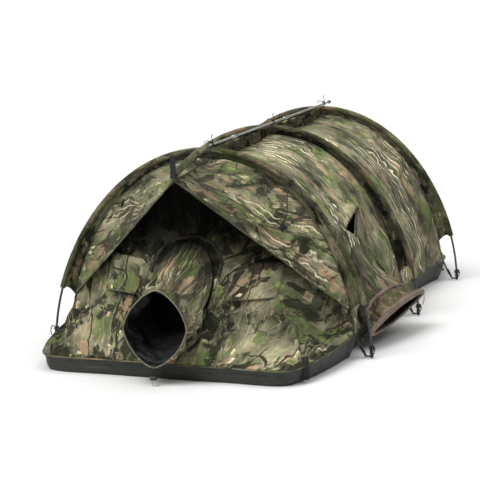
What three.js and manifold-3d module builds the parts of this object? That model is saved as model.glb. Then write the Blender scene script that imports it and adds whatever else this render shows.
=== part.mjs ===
// Low three-hoop field blind: a camouflage fabric body hung inside three hoop poles, with a
// sloping front wall, a lens snoot, a peaked hood, two side snoots and a coated bathtub floor.
// Millimetres, +Z up. The origin is on the ground below the middle of the front hoop. +X is on
// the right of a viewer who looks at the front wall, and +Y runs from the front hoop to the rear.
import * as THREE from 'three';
import { mergeVertices } from 'three/addons/utils/BufferGeometryUtils.js';
import Module from 'manifold-3d';

const wasm = await Module();
wasm.setup();

// ---- Driving dimensions ----
const HOOP_HALF = 600;
const HOOP_HEIGHT = 720;
const HOOP_PITCH = 790;
const HOOP_NAMES = ['front', 'middle', 'rear'];
const HOOP_X_POWER = 2 / 2.03;
const HOOP_Z_POWER = 2 / 1.78;

const POLE_R = 4.25;
const FERRULE_BORE_R = 5.6;
const FERRULE_R = 6.7;
const SLEEVE_BORE_R = 8.6;
const SLEEVE_R = 10.4;
const POLE_FOOT_Z = 14;
const SLEEVE_END_Z = 190;
const WEB_T = 2;
const POLE_JOINT_ANGLE = 0.52;
const POLE_GAP_ANGLE = 0.001;
const FERRULE_HALF_ANGLE = 0.045;

const BODY_HALF = 541;
const BODY_HEIGHT = 692;
const BODY_X_POWER = 0.937;
const BODY_Z_POWER = 1.094;
const HEM_Z = 81;
const FABRIC_T = 2;
const SEAM_GAP = 2;
const ROOF_SAG = 24;
const HEM_SAG = 36;

const FRONT_WALL_SAG = 102;
const MIDDLE_SAG = 8;
const REAR_WALL_SAG = 18;
const FRONT_REACH = 520;
const REAR_REACH = 410;
const HEM_CORNER_HALF = 430;
const HEM_FRONT_Z = 55;
const FLOOR_HALF = 460;
const FLOOR_INSET = 50;
const FLOOR_T = 3;
const RIM_DROP = 5;

const PEAK = new THREE.Vector3(0, -400, 663);
const HOOD_FOOT_S = 0.905;
const HOOD_END = 0.8;
const RIDGE_Z = 737;
const RIDGE_REAR_Y = 1700;
const RIDGE_SLEEVE_R = 11;

const SNOOT_HALF_WIDTH = 112;
const SNOOT_HALF_HEIGHT = 190;
const SNOOT_S = 296;
const SNOOT_PORT_CLEAR = 20;
const MOUTH = new THREE.Vector3(0, -600, 190);
const MOUTH_HALF_WIDTH = 112;
const MOUTH_HALF_HEIGHT = 130;
const TUBE_T = 2.5;

const SIDE_PORT_Y = 390;
const SIDE_PORT_Z = 236;
const SIDE_PORT_HALF_LENGTH = 188;
const SIDE_PORT_HALF_HEIGHT = 104;
const SIDE_PORT_CLEAR = 22;

const bodyLength = HOOP_PITCH * 2;
const hemAngle = Math.acos((HEM_Z / BODY_HEIGHT) ** (1 / BODY_Z_POWER));
const V = (x, y, z) => new THREE.Vector3(x, y, z);
const smooth = THREE.MathUtils.smoothstep;

// ---- Solid helpers ----
function toSolid(geometry) {
  const bare = geometry.clone();
  bare.deleteAttribute('normal');
  bare.deleteAttribute('uv');
  const merged = mergeVertices(bare, 1e-3);
  return new wasm.Manifold(new wasm.Mesh({
    numProp: 3,
    vertProperties: new Float32Array(merged.attributes.position.array),
    triVerts: new Uint32Array(merged.index.array),
  }));
}

function toGeometry(solid) {
  const mesh = solid.getMesh();
  const geometry = new THREE.BufferGeometry();
  geometry.setAttribute('position', new THREE.BufferAttribute(mesh.vertProperties, 3));
  geometry.setIndex(new THREE.BufferAttribute(mesh.triVerts, 1));
  return geometry;
}

function joined(...geometries) {
  return toGeometry(geometries.map(toSolid).reduce((a, b) => a.add(b)));
}

function cut(geometry, ...tools) {
  return toGeometry(tools.map(toSolid).reduce((a, b) => a.subtract(b), toSolid(geometry)));
}

function common(a, b) {
  return toGeometry(toSolid(a).intersect(toSolid(b)));
}

function fromTriangles(points, triangles) {
  const geometry = new THREE.BufferGeometry().setFromPoints(points);
  geometry.setIndex(triangles.flat());
  return geometry;
}

// A copy on the other side of the x = 0 plane, with its faces turned round again.
function mirrored(geometry) {
  const copy = geometry.clone().scale(-1, 1, 1);
  if (!copy.index) return mirrored(mergeVertices(copy.scale(-1, 1, 1)));
  const index = copy.index.array;
  for (let i = 0; i < index.length; i += 3) [index[i], index[i + 1]] = [index[i + 1], index[i]];
  return copy;
}

function normalAt(point, u, v) {
  const d = 1e-3;
  const du = point(Math.min(u + d, 1), v).sub(point(Math.max(u - d, 0), v));
  const dv = point(u, Math.min(v + d, 1)).sub(point(u, Math.max(v - d, 0)));
  return du.cross(dv).normalize();
}

// A curved sheet: point(u, v) gives its outer face for u and v from 0 to 1.
function sheet(point, across, along, thickness = FABRIC_T) {
  const points = [];
  for (const depth of [0, -thickness]) {
    for (let j = 0; j <= along; j++) {
      for (let i = 0; i <= across; i++) {
        const u = i / across;
        const v = j / along;
        points.push(point(u, v).addScaledVector(normalAt(point, u, v), depth));
      }
    }
  }
  const row = across + 1;
  const inner = row * (along + 1);
  const at = (i, j) => j * row + i;
  const triangles = [];
  for (let j = 0; j < along; j++) {
    for (let i = 0; i < across; i++) {
      const [a, b, c, d] = [at(i, j), at(i + 1, j), at(i + 1, j + 1), at(i, j + 1)];
      triangles.push([a, b, c], [a, c, d]);
      triangles.push([a + inner, c + inner, b + inner], [a + inner, d + inner, c + inner]);
    }
  }
  const rim = [];
  for (let i = 0; i < across; i++) rim.push(at(i, 0));
  for (let j = 0; j < along; j++) rim.push(at(across, j));
  for (let i = across; i > 0; i--) rim.push(at(i, along));
  for (let j = along; j > 0; j--) rim.push(at(0, j));
  rim.forEach((p, k) => {
    const q = rim[(k + 1) % rim.length];
    triangles.push([q, p, p + inner], [q, p + inner, q + inner]);
  });
  return fromTriangles(points, triangles);
}

// An open-ended tube: ring(k, angle, inset) gives its wall for k from 0 to 1 along it.
function tubeSkin(ring, along, around, thickness = TUBE_T) {
  const points = [];
  for (const inset of [0, thickness]) {
    for (let j = 0; j <= along; j++) {
      for (let i = 0; i < around; i++) {
        points.push(ring(j / along, (i / around) * 2 * Math.PI, inset));
      }
    }
  }
  const inner = around * (along + 1);
  const triangles = [];
  for (let i = 0; i < around; i++) {
    const next = (i + 1) % around;
    for (let j = 0; j < along; j++) {
      const [a, b] = [j * around + i, j * around + next];
      const [c, d] = [b + around, a + around];
      triangles.push([a, b, c], [a, c, d]);
      triangles.push([a + inner, c + inner, b + inner], [a + inner, d + inner, c + inner]);
    }
    const end = along * around;
    triangles.push([next, i, i + inner], [next, i + inner, next + inner]);
    triangles.push([end + i, end + next, end + next + inner]);
    triangles.push([end + i, end + next + inner, end + i + inner]);
  }
  return fromTriangles(points, triangles);
}

function disc(radius, hole = 0) {
  const shape = new THREE.Shape();
  shape.absarc(0, 0, radius, 0, Math.PI * 2);
  if (hole) {
    const inside = new THREE.Path();
    inside.absarc(0, 0, hole, 0, Math.PI * 2, true);
    shape.holes.push(inside);
  }
  return shape;
}

function swept(shape, curve, steps, curveSegments = 4) {
  return new THREE.ExtrudeGeometry(shape, { steps, curveSegments, extrudePath: curve });
}

function plate(shape, depth, basis) {
  const geometry = new THREE.ExtrudeGeometry(shape, { depth, bevelEnabled: false, curveSegments: 8 });
  return geometry.applyMatrix4(basis);
}

function box(width, length, height, centre) {
  return new THREE.BoxGeometry(width, length, height).translate(centre.x, centre.y, centre.z);
}

// A flat strap from one point to another, its width along Y.
function strap(from, to, width, thickness) {
  const along = to.clone().sub(from);
  const geometry = new THREE.BoxGeometry(along.length(), width, thickness);
  const turn = new THREE.Quaternion().setFromUnitVectors(V(1, 0, 0), along.normalize());
  const middle = from.clone().lerp(to, 0.5);
  return geometry.applyQuaternion(turn).translate(middle.x, middle.y, middle.z);
}

// ---- Curves that everything is built on ----
function hoopPoint(angle, y) {
  const x = Math.sign(angle) * HOOP_HALF * Math.abs(Math.sin(angle)) ** HOOP_X_POWER;
  return V(x, y, HOOP_HEIGHT * Math.cos(angle) ** HOOP_Z_POWER);
}

function hoopAngleAt(z) {
  return Math.acos((z / HOOP_HEIGHT) ** (1 / HOOP_Z_POWER));
}

class HoopSpan extends THREE.Curve {
  constructor(y, from, to) {
    super();
    Object.assign(this, { y, from, to });
  }

  getPoint(t) {
    return hoopPoint(THREE.MathUtils.lerp(this.from, this.to, t), this.y);
  }
}

// The fabric body's outline in a hoop's plane, s from -1 (left hem) to 1 (right hem).
function bodyOutline(s, inset = 0) {
  const angle = Math.abs(s) * hemAngle;
  const x = Math.sign(s) * (BODY_HALF - inset) * Math.sin(angle) ** BODY_X_POWER;
  return V(x, 0, (BODY_HEIGHT - inset) * Math.cos(angle) ** BODY_Z_POWER);
}

// The body between two hoops: it is drawn in between them, most at the hem.
function bayPoint(s, y) {
  const p = bodyOutline(s);
  const drawn = Math.sin((Math.PI * (y % HOOP_PITCH)) / HOOP_PITCH);
  const side = smooth(Math.abs(s), 0.08, 0.6);
  p.x -= Math.sign(s) * drawn * side * THREE.MathUtils.lerp(ROOF_SAG * 0.6, HEM_SAG, Math.abs(s) ** 3);
  p.z -= drawn * (ROOF_SAG * side * (1 - Math.abs(s)) + 10 * Math.abs(s) ** 3);
  p.y = y;
  return p;
}

// Half of an end hem, from the middle (k = 0) round the corner to the hoop (k = 1).
function endHem(reach) {
  const corner = reach - 15;
  return new THREE.CatmullRomCurve3([
    V(0, reach, HEM_FRONT_Z),
    V(HEM_CORNER_HALF * 0.5, reach - 3, HEM_FRONT_Z),
    V(HEM_CORNER_HALF, corner, HEM_FRONT_Z),
    V(BODY_HALF - 63, corner - 105, HEM_FRONT_Z + 4),
    V(BODY_HALF - 28, corner * 0.45, 68),
    V(BODY_HALF - 3, 0, HEM_Z),
  ], false, 'centripetal');
}

const frontHem = endHem(FRONT_REACH);
const rearHem = endHem(REAR_REACH);

function endHemPoint(curve, s, direction, y) {
  const p = curve.getPointAt(Math.abs(s));
  return V(Math.sign(s) * p.x, y + direction * p.y, p.z);
}

// A sloping end wall: s across, v from its hem (0) to the hoop seam (1), raised by lift.
function endWallPoint(curve, direction, y, s, v, lift = 0) {
  const low = endHemPoint(curve, s, direction, y + direction * SEAM_GAP);
  const high = bodyOutline(s, 12);
  high.y = y + direction * SEAM_GAP;
  const p = low.lerp(high, v);
  const side = smooth(Math.abs(s), 0.05, 0.52) * (1 - 0.5 * smooth(Math.abs(s), 0.62, 0.88));
  const free = 1 - smooth(Math.abs(s), 0.8, 0.97);
  const deep = (direction < 0 ? FRONT_WALL_SAG : REAR_WALL_SAG) * side;
  const sag = (MIDDLE_SAG + deep) * free * Math.sin(Math.PI * v) - lift;
  const inward = V(-Math.sign(s) * smooth(Math.abs(s), 0.3, 1), -direction * 0.65, -0.65).normalize();
  return p.addScaledVector(inward, sag);
}

// ---- Fabric body ----
const END_CUT = 0.965;

function canopy(y) {
  const point = (u, v) => bayPoint(u * 2 - 1, y + SEAM_GAP + v * (HOOP_PITCH - 2 * SEAM_GAP - 0.01));
  return sheet(point, 26, 4);
}

function endWall(curve, direction, y, lift = 0) {
  const point = (u, v) => {
    const along = direction < 0 ? v : 1 - v;
    return endWallPoint(curve, direction, y, (u * 2 - 1) * END_CUT, 0.012 + along * 0.988, lift);
  };
  return sheet(point, 26, 4);
}

const wallSlope = V(0, FRONT_REACH, BODY_HEIGHT - HEM_FRONT_Z).normalize();
const wallNormal = V(1, 0, 0).cross(wallSlope);
const wallFoot = V(0, -FRONT_REACH, HEM_FRONT_Z);

// A place on the front wall's plane: x across, s up the slope, lift off the fabric.
function onWall(x, s, lift = 0) {
  return wallFoot.clone().addScaledVector(wallSlope, s).addScaledVector(wallNormal, lift).setX(x);
}

function wallBasis(lift) {
  const origin = onWall(0, 0, lift);
  return new THREE.Matrix4().makeBasis(V(1, 0, 0), wallSlope, wallNormal).setPosition(origin);
}

// A shape drawn in x and z, pushed out towards the viewer in front.
const alongY = new THREE.Matrix4().makeBasis(V(1, 0, 0), V(0, 0, 1), V(0, -1, 0));

// A shape drawn in y and z, pushed out to the right.
const alongX = new THREE.Matrix4().makeBasis(V(0, 1, 0), V(0, 0, 1), V(1, 0, 0));
const THROUGH = 1400;

function ovalShape(x, y, halfWidth, halfHeight) {
  const shape = new THREE.Shape();
  shape.absellipse(x, y, halfWidth, halfHeight, 0, Math.PI * 2);
  return shape;
}

function cornerShape(...corners) {
  return new THREE.Shape(corners.map(([x, y]) => new THREE.Vector2(x, y)));
}

// A window opening in the front wall, by its x and z; the left one mirrors it.
const WINDOW = { inner: 168, outer: 308, low: 250, high: 348 };
const FLAP_MARGIN = 10;
const FLAP_LIFT = 10;
const CUT_DEPTH = 260;

function windowTool(grow) {
  const { inner, outer, low, high } = WINDOW;
  const shape = cornerShape(
    [inner - grow, low - grow], [outer + grow, low - grow],
    [outer + grow, high + grow], [inner - grow, high + grow],
  );
  return plate(shape, FRONT_REACH, alongY);
}

function frontWall() {
  const halfWidth = SNOOT_HALF_WIDTH + SNOOT_PORT_CLEAR;
  const portShape = ovalShape(0, SNOOT_S, halfWidth, SNOOT_HALF_HEIGHT + SNOOT_PORT_CLEAR);
  const port = plate(portShape, CUT_DEPTH, wallBasis(-CUT_DEPTH / 2));
  return cut(endWall(frontHem, -1, 0), port, windowTool(0), mirrored(windowTool(0)));
}

function windowFlap() {
  return common(endWall(frontHem, -1, 0, FLAP_LIFT), windowTool(FLAP_MARGIN));
}

const DOOR_HALF = 235;
const DOOR_LOW_Z = 105;
const DOOR_HIGH_Z = 500;

function doorTool(gap) {
  const half = DOOR_HALF - gap;
  const shape = cornerShape(
    [-half, DOOR_LOW_Z + gap], [half, DOOR_LOW_Z + gap],
    [half, DOOR_HIGH_Z - 130], [half * 0.72, DOOR_HIGH_Z - 36 - gap],
    [half * 0.3, DOOR_HIGH_Z - gap], [-half * 0.3, DOOR_HIGH_Z - gap],
    [-half * 0.72, DOOR_HIGH_Z - 36 - gap], [-half, DOOR_HIGH_Z - 130],
  );
  const basis = new THREE.Matrix4().makeBasis(V(-1, 0, 0), V(0, 0, 1), V(0, 1, 0));
  return plate(shape, 900, basis.setPosition(0, bodyLength - 100, 0));
}

const rearSkin = endWall(rearHem, 1, bodyLength);

function sidePortTool(grow) {
  const shape = ovalShape(SIDE_PORT_Y, SIDE_PORT_Z, SIDE_PORT_HALF_LENGTH + grow, SIDE_PORT_HALF_HEIGHT + grow);
  return plate(shape, THROUGH, alongX.clone().setPosition(-THROUGH / 2, 0, 0));
}

// The unzipped corner above each side snoot, as (y, z).
const GAP = { top: [580, 437], left: [360, 400], low: [428, 366] };

function frontCanopy() {
  const gapShape = cornerShape(GAP.top, GAP.left, GAP.low);
  const gap = plate(gapShape, THROUGH, alongX.clone().setPosition(-THROUGH / 2, 0, 0));
  return cut(canopy(0), sidePortTool(SIDE_PORT_CLEAR), gap);
}

function hood() {
  const point = (u, v) => {
    const s = (u * 2 - 1) * HOOD_END;
    const reach = HOOD_FOOT_S * s;
    const seam = bodyOutline(reach);
    seam.y = -SEAM_GAP;
    const foot = bodyOutline(s < 0 ? -HOOD_FOOT_S : HOOD_FOOT_S);
    foot.y = -SEAM_GAP;
    const edge = PEAK.clone().lerp(foot, Math.abs(s));
    return edge.lerp(seam, v);
  };
  return sheet(point, 24, 3);
}

const RIDGE_WEB_LOW_Z = BODY_HEIGHT + SEAM_GAP;
const UNDER_HOOP_Z = HOOP_HEIGHT - SLEEVE_R - 2;

// A fabric sleeve round the hoop pole, with the web that hangs the body from it.
function hoopSleeve(y) {
  const end = hoopAngleAt(SLEEVE_END_Z);
  const tube = swept(disc(SLEEVE_R, SLEEVE_BORE_R), new HoopSpan(y, -end, end), 22);
  const steps = 28;
  const overlap = SLEEVE_R - 1.4;
  const outline = [];
  for (let i = 0; i <= steps; i++) {
    const angle = THREE.MathUtils.lerp(-end, end, i / steps);
    const p = hoopPoint(angle, 0);
    const along = hoopPoint(angle + 1e-3, 0).sub(hoopPoint(angle - 1e-3, 0)).normalize();
    outline.push([p.x + along.z * overlap, p.z - along.x * overlap]);
  }
  const low = HOOD_FOOT_S;
  for (let i = 0; i <= steps; i++) {
    const p = bodyOutline(THREE.MathUtils.lerp(low, -low, i / steps));
    outline.push([p.x, p.z]);
  }
  const web = plate(cornerShape(...outline), WEB_T, alongY.clone().setPosition(0, y + WEB_T / 2, 0));
  const notch = box(5, 8, UNDER_HOOP_Z - BODY_HEIGHT + 4, V(0, y, (UNDER_HOOP_Z + BODY_HEIGHT) / 2));
  return cut(joined(tube, web), notch);
}

// The ruffled strip between the roof and the ridge pole.
function ridgeWeb() {
  const high = RIDGE_Z - 10;
  const clear = SLEEVE_R + 3;
  const shape = cornerShape(
    [clear, RIDGE_WEB_LOW_Z], [bodyLength - clear, RIDGE_WEB_LOW_Z],
    [bodyLength - clear, high], [HOOP_PITCH + clear, high],
    [HOOP_PITCH + clear, UNDER_HOOP_Z], [HOOP_PITCH - clear, UNDER_HOOP_Z],
    [HOOP_PITCH - clear, high], [clear, high],
  );
  return plate(shape, WEB_T, alongX.clone().setPosition(-WEB_T / 2, 0, 0));
}

// ---- Floor ----
function hemLoop() {
  const right = [];
  for (let i = 0; i < 9; i++) right.push(endHemPoint(frontHem, i / 9, -1, 0));
  for (let i = 0; i < 12; i++) right.push(bayPoint(1, (i / 12) * bodyLength));
  for (let i = 9; i > 0; i--) right.push(endHemPoint(rearHem, i / 9, 1, bodyLength));
  const left = right.slice(1).reverse().map((p) => V(-p.x, p.y, p.z));
  return [...right, V(0, bodyLength + REAR_REACH, HEM_FRONT_Z), ...left];
}

function floorTub() {
  const skin = 2.4;
  const middle = (bodyLength + REAR_REACH - FRONT_REACH) / 2;
  const halfLength = (bodyLength + REAR_REACH + FRONT_REACH) / 2;
  const flat = (p, inset, z) => V(
    (p.x * (FLOOR_HALF - inset)) / BODY_HALF,
    middle + ((p.y - middle) * (halfLength - FLOOR_INSET - inset)) / halfLength,
    z,
  );
  const rim = hemLoop().map((p) => p.setZ(p.z - RIM_DROP));
  const innerRim = rim.map((p) => V(p.x - Math.sign(p.x) * skin, p.y - Math.sign(p.y - middle) * skin, p.z));
  const layers = [rim.map((p) => flat(p, 0, 0)), rim, innerRim, innerRim.map((p) => flat(p, 3, FLOOR_T))];
  const count = rim.length;
  const triangles = [];
  for (let k = 0; k < layers.length - 1; k++) {
    for (let i = 0; i < count; i++) {
      const [a, b] = [k * count + i, k * count + ((i + 1) % count)];
      triangles.push([a, b, b + count], [a, b + count, a + count]);
    }
  }
  const asFlat = (layer) => layer.map((p) => new THREE.Vector2(p.x, p.y));
  const last = (layers.length - 1) * count;
  for (const [a, b, c] of THREE.ShapeUtils.triangulateShape(asFlat(layers[0]), [])) {
    triangles.push([a, c, b]);
  }
  for (const [a, b, c] of THREE.ShapeUtils.triangulateShape(asFlat(layers[3]), [])) {
    triangles.push([last + a, last + b, last + c]);
  }
  return fromTriangles(layers.flat(), triangles);
}

// ---- Poles ----
const poleFoot = hoopPoint(hoopAngleAt(POLE_FOOT_Z), 0);
const PIN_DEPTH = 26;
const PIN_R = 2.1;
const PIN_BORE_R = 2.6;
const poleLean = hoopPoint(hoopAngleAt(POLE_FOOT_Z + PIN_DEPTH), 0).sub(poleFoot).normalize();

// A cylinder along the lower end of a right-hand pole, from one distance to another above its end.
function alongFoot(radius, from, to, segments = 8) {
  const geometry = new THREE.CylinderGeometry(radius, radius, to - from, segments);
  geometry.translate(0, (from + to) / 2, 0);
  geometry.applyQuaternion(new THREE.Quaternion().setFromUnitVectors(V(0, 1, 0), poleLean));
  return geometry.translate(poleFoot.x, poleFoot.y, poleFoot.z);
}

function hoopLeg() {
  const span = new HoopSpan(0, POLE_JOINT_ANGLE + POLE_GAP_ANGLE, hoopAngleAt(POLE_FOOT_Z));
  return cut(swept(disc(POLE_R), span, 10, 3), alongFoot(PIN_BORE_R, -4, PIN_DEPTH + 2));
}

function hoopCrown() {
  const half = POLE_JOINT_ANGLE - POLE_GAP_ANGLE;
  return swept(disc(POLE_R), new HoopSpan(0, -half, half), 10, 3);
}

function hoopFerrule() {
  const [from, to] = [POLE_JOINT_ANGLE - FERRULE_HALF_ANGLE, POLE_JOINT_ANGLE + FERRULE_HALF_ANGLE];
  return swept(disc(FERRULE_R, FERRULE_BORE_R), new HoopSpan(0, from, to), 2, 3);
}

class CurvePart extends THREE.Curve {
  constructor(whole, from, to) {
    super();
    Object.assign(this, { whole, from, to });
  }

  getPoint(t) {
    return this.whole.getPointAt(THREE.MathUtils.lerp(this.from, this.to, t));
  }
}

const ridgeCurve = new THREE.CatmullRomCurve3([
  V(0, PEAK.y + 4, PEAK.z + 15), V(0, -200, RIDGE_Z - 19), V(0, -30, RIDGE_Z - 1),
  V(0, 60, RIDGE_Z), V(0, 240, RIDGE_Z), V(0, RIDGE_REAR_Y, RIDGE_Z),
], false, 'centripetal');
const RIDGE_JOINTS = [0.335, 0.668];
const RIDGE_GAP = 0.0004;
const RIDGE_FERRULE_HALF = 0.015;

function ridgeSection(from, to, steps) {
  return swept(disc(POLE_R), new CurvePart(ridgeCurve, from, to), steps);
}

function ridgeFerrule(at) {
  const part = new CurvePart(ridgeCurve, at - RIDGE_FERRULE_HALF, at + RIDGE_FERRULE_HALF);
  return swept(disc(FERRULE_R, FERRULE_BORE_R), part, 2);
}

function ridgeSleeve() {
  return swept(disc(RIDGE_SLEEVE_R, SLEEVE_BORE_R), new CurvePart(ridgeCurve, 0.002, 0.181), 6);
}

// A cup over the rear end of the ridge pole.
function tipCap() {
  const profile = [[0, 6], [7, 4], [7, -18], [FERRULE_BORE_R, -18], [FERRULE_BORE_R, 1.5], [0, 1.5]];
  const cup = new THREE.LatheGeometry(profile.map(([r, h]) => new THREE.Vector2(r, h)).reverse(), 12);
  return cup.translate(0, RIDGE_REAR_Y, RIDGE_Z);
}

// A cord lashed round the ridge pole behind a hoop, its knotted end standing up.
function ridgeTie() {
  const ring = plate(disc(7.4, 5.3), 8, new THREE.Matrix4().makeRotationX(Math.PI / 2));
  const tail = box(3, 3, 30, V(0, -4, 21.5));
  return joined(ring, tail).translate(0, SLEEVE_R + 12, RIDGE_Z);
}

// ---- Feet ----
function footPin() {
  const pin = alongFoot(PIN_R, -4, PIN_DEPTH);
  const flange = alongFoot(6.5, -11.5, -1.5);
  const ring = new THREE.TorusGeometry(9, 1.8, 5, 9).translate(poleFoot.x - 13.5, 0, 7);
  return joined(pin, flange, ring);
}

function footStrap() {
  return strap(V(BODY_HALF + 2, 0, HEM_Z - 5), V(poleFoot.x - 28, 0, 9), 20, WEB_T);
}

// ---- Front snoot ----
const snootBase = onWall(0, SNOOT_S);
const mouthUp = V(0, 0.12, 1).normalize();

function roundPower(value, power) {
  return Math.sign(value) * Math.abs(value) ** power;
}

// The snoot's outline at k from 0 (in the wall) to 1 (its mouth), turning from oval to diamond.
function snootRing(k, angle, inset, narrow = 1) {
  const centre = snootBase.clone().lerp(MOUTH, k);
  const up = wallSlope.clone().lerp(mouthUp, k).normalize();
  const width = THREE.MathUtils.lerp(SNOOT_HALF_WIDTH, MOUTH_HALF_WIDTH, k) * narrow - inset;
  const tall = THREE.MathUtils.lerp(SNOOT_HALF_HEIGHT, MOUTH_HALF_HEIGHT, Math.sqrt(k));
  const height = tall * narrow - inset;
  const power = THREE.MathUtils.lerp(1, 1.3, k);
  centre.x += width * roundPower(Math.cos(angle), power);
  return centre.addScaledVector(up, height * roundPower(Math.sin(angle), power));
}

const COLLAR_END = 0.24;
const SLEEVE_START = 0.28;
const SLEEVE_NARROW = 0.82;

function snootCollar() {
  return tubeSkin((k, angle, inset) => snootRing(k * COLLAR_END, angle, inset), 1, 20);
}

function snootSleeve() {
  const ring = (k, angle, inset) => {
    const narrow = THREE.MathUtils.lerp(SLEEVE_NARROW, 1, k);
    return snootRing(THREE.MathUtils.lerp(SLEEVE_START, 1, k), angle, inset, narrow);
  };
  return tubeSkin(ring, 2, 20);
}

const LOCK = V(0, -622, 27);

function cordLock() {
  const profile = [[0, -3], [4.4, -3], [4.4, 9], [7, 9], [7, -9], [0, -9]];
  const cup = new THREE.LatheGeometry(profile.map(([r, h]) => new THREE.Vector2(r, h)).reverse(), 12);
  return cup.rotateZ(-Math.PI / 2).translate(LOCK.x, LOCK.y, LOCK.z);
}

function cordLockPlunger() {
  const rod = new THREE.CylinderGeometry(3.9, 3.9, 12, 12).translate(0, 8, 0);
  return rod.rotateZ(-Math.PI / 2).translate(LOCK.x, LOCK.y, LOCK.z);
}

// ---- Side snoots ----
const sideBase = V(477, SIDE_PORT_Y, SIDE_PORT_Z);
const sideBaseUp = V(-0.27, 0, 0.963);
const sideMouth = V(612, 355, 98);
const sideMouthLong = V(0.18, 0.97, 0.14).normalize();
const sideMouthUp = V(0.25, -0.05, 0.96).normalize();
const SIDE_MOUTH_HALF_LENGTH = 245;
const SIDE_MOUTH_HALF_HEIGHT = 46;

function sideRing(k, angle, inset) {
  const long = V(0, 1, 0).lerp(sideMouthLong, k);
  const up = sideBaseUp.clone().lerp(sideMouthUp, k);
  const length = THREE.MathUtils.lerp(SIDE_PORT_HALF_LENGTH, SIDE_MOUTH_HALF_LENGTH, k) - inset;
  const height = THREE.MathUtils.lerp(SIDE_PORT_HALF_HEIGHT, SIDE_MOUTH_HALF_HEIGHT, k) - inset;
  const power = THREE.MathUtils.lerp(1, 1.25, k);
  const p = sideBase.clone().lerp(sideMouth, k);
  p.addScaledVector(long, length * roundPower(Math.cos(angle), power));
  return p.addScaledVector(up, height * roundPower(Math.sin(angle), power));
}

// ---- Zip sliders ----
const ZIP_LIFT = 5;
const frontZipCentre = onWall(0, 383);
const FRONT_ZIP_R = 124;
const FRONT_ZIP_START = THREE.MathUtils.degToRad(170);

// A slider body with its pull tab: along is its travel, out is away from the fabric.
function zipSlider(place, along, out) {
  const body = box(9, 14, 5, V(0, 0, 0));
  const tab = box(6, 30, 1.6, V(0, -20, 1));
  const x = along.clone().normalize();
  const z = out.clone().addScaledVector(x, -out.dot(x)).normalize();
  const basis = new THREE.Matrix4().makeBasis(x.clone().cross(z), x, z);
  return joined(body, tab).applyMatrix4(basis.setPosition(place));
}

function frontZipSlider() {
  const across = V(Math.cos(FRONT_ZIP_START), 0, 0);
  const out = across.clone().addScaledVector(wallSlope, Math.sin(FRONT_ZIP_START));
  const place = frontZipCentre.clone().addScaledVector(out, FRONT_ZIP_R);
  place.addScaledVector(wallNormal, ZIP_LIFT);
  return zipSlider(place, out.clone().cross(wallNormal), wallNormal);
}

// The place on the side wall at a given y and height, found by halving, and its outward normal.
function sideWallAt(y, z) {
  let [high, low] = [0, 1];
  for (let i = 0; i < 40; i++) {
    const middle = (high + low) / 2;
    if (bayPoint(middle, y).z > z) high = middle;
    else low = middle;
  }
  const ds = bayPoint(high + 0.005, y).sub(bayPoint(high - 0.005, y));
  const dy = bayPoint(high, y + 2).sub(bayPoint(high, y - 2));
  return { place: bayPoint(high, y), out: ds.cross(dy).normalize() };
}

const zipTop = sideWallAt(GAP.top[0] + 12, GAP.top[1] + 2);
const zipLow = sideWallAt(GAP.low[0] + 12, GAP.low[1] + 2);
const sideZipFrom = zipTop.place.clone().addScaledVector(zipTop.out, ZIP_LIFT + 3);
const sideZipTo = zipLow.place.clone().addScaledVector(zipLow.out, ZIP_LIFT + 3);

function sideZipSlider() {
  return zipSlider(sideZipFrom, sideZipFrom.clone().sub(sideZipTo), zipTop.out);
}

// ---- The assembly ----
const FINISHES = {
  camo: { color: '#5c5a44', roughness: 0.85, metalness: 0 },
  coated_floor: { color: '#24272a', roughness: 0.55, metalness: 0 },
  pole: { color: '#8d8f8c', roughness: 0.4, metalness: 0.1 },
  ferrule: { color: '#b9bcbd', roughness: 0.3, metalness: 1 },
  webbing: { color: '#151516', roughness: 0.8, metalness: 0 },
  black_plastic: { color: '#101112', roughness: 0.5, metalness: 0 },
  zip_metal: { color: '#2b2a28', roughness: 0.4, metalness: 0.8 },
};

const blind = new THREE.Group();

function add(name, finish, geometry, parent = blind) {
  geometry.computeVertexNormals();
  const mesh = new THREE.Mesh(geometry, new THREE.MeshStandardMaterial(FINISHES[finish]));
  mesh.name = name;
  parent.add(mesh);
}

add('floor_tub', 'coated_floor', floorTub());
add('front_wall', 'camo', frontWall());
add('canopy_front', 'camo', frontCanopy());
add('canopy_rear', 'camo', canopy(HOOP_PITCH));
add('rear_wall', 'camo', cut(rearSkin, doorTool(0)));
add('rear_door', 'camo', common(rearSkin, doorTool(3)));
add('hood', 'camo', hood());
add('ridge_web', 'camo', ridgeWeb());
add('ridge_sleeve', 'camo', ridgeSleeve());
add('snoot_collar', 'camo', snootCollar());
add('snoot_sleeve', 'camo', snootSleeve());
add('snoot_cord_lock', 'black_plastic', cordLock());
add('snoot_cord_lock_plunger', 'black_plastic', cordLockPlunger());
add('peak_tab', 'webbing', box(20, WEB_T, 80, V(0, PEAK.y - 6, PEAK.z + 46)));
add('front_zip_slider', 'zip_metal', frontZipSlider());

const paired = {
  side_snoot: ['camo', tubeSkin(sideRing, 3, 20)],
  window_flap: ['camo', windowFlap()],
  side_zip_slider: ['zip_metal', sideZipSlider()],
};
for (const [name, [finish, geometry]] of Object.entries(paired)) {
  add(`${name}_right`, finish, geometry);
  add(`${name}_left`, finish, mirrored(geometry));
}

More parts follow.
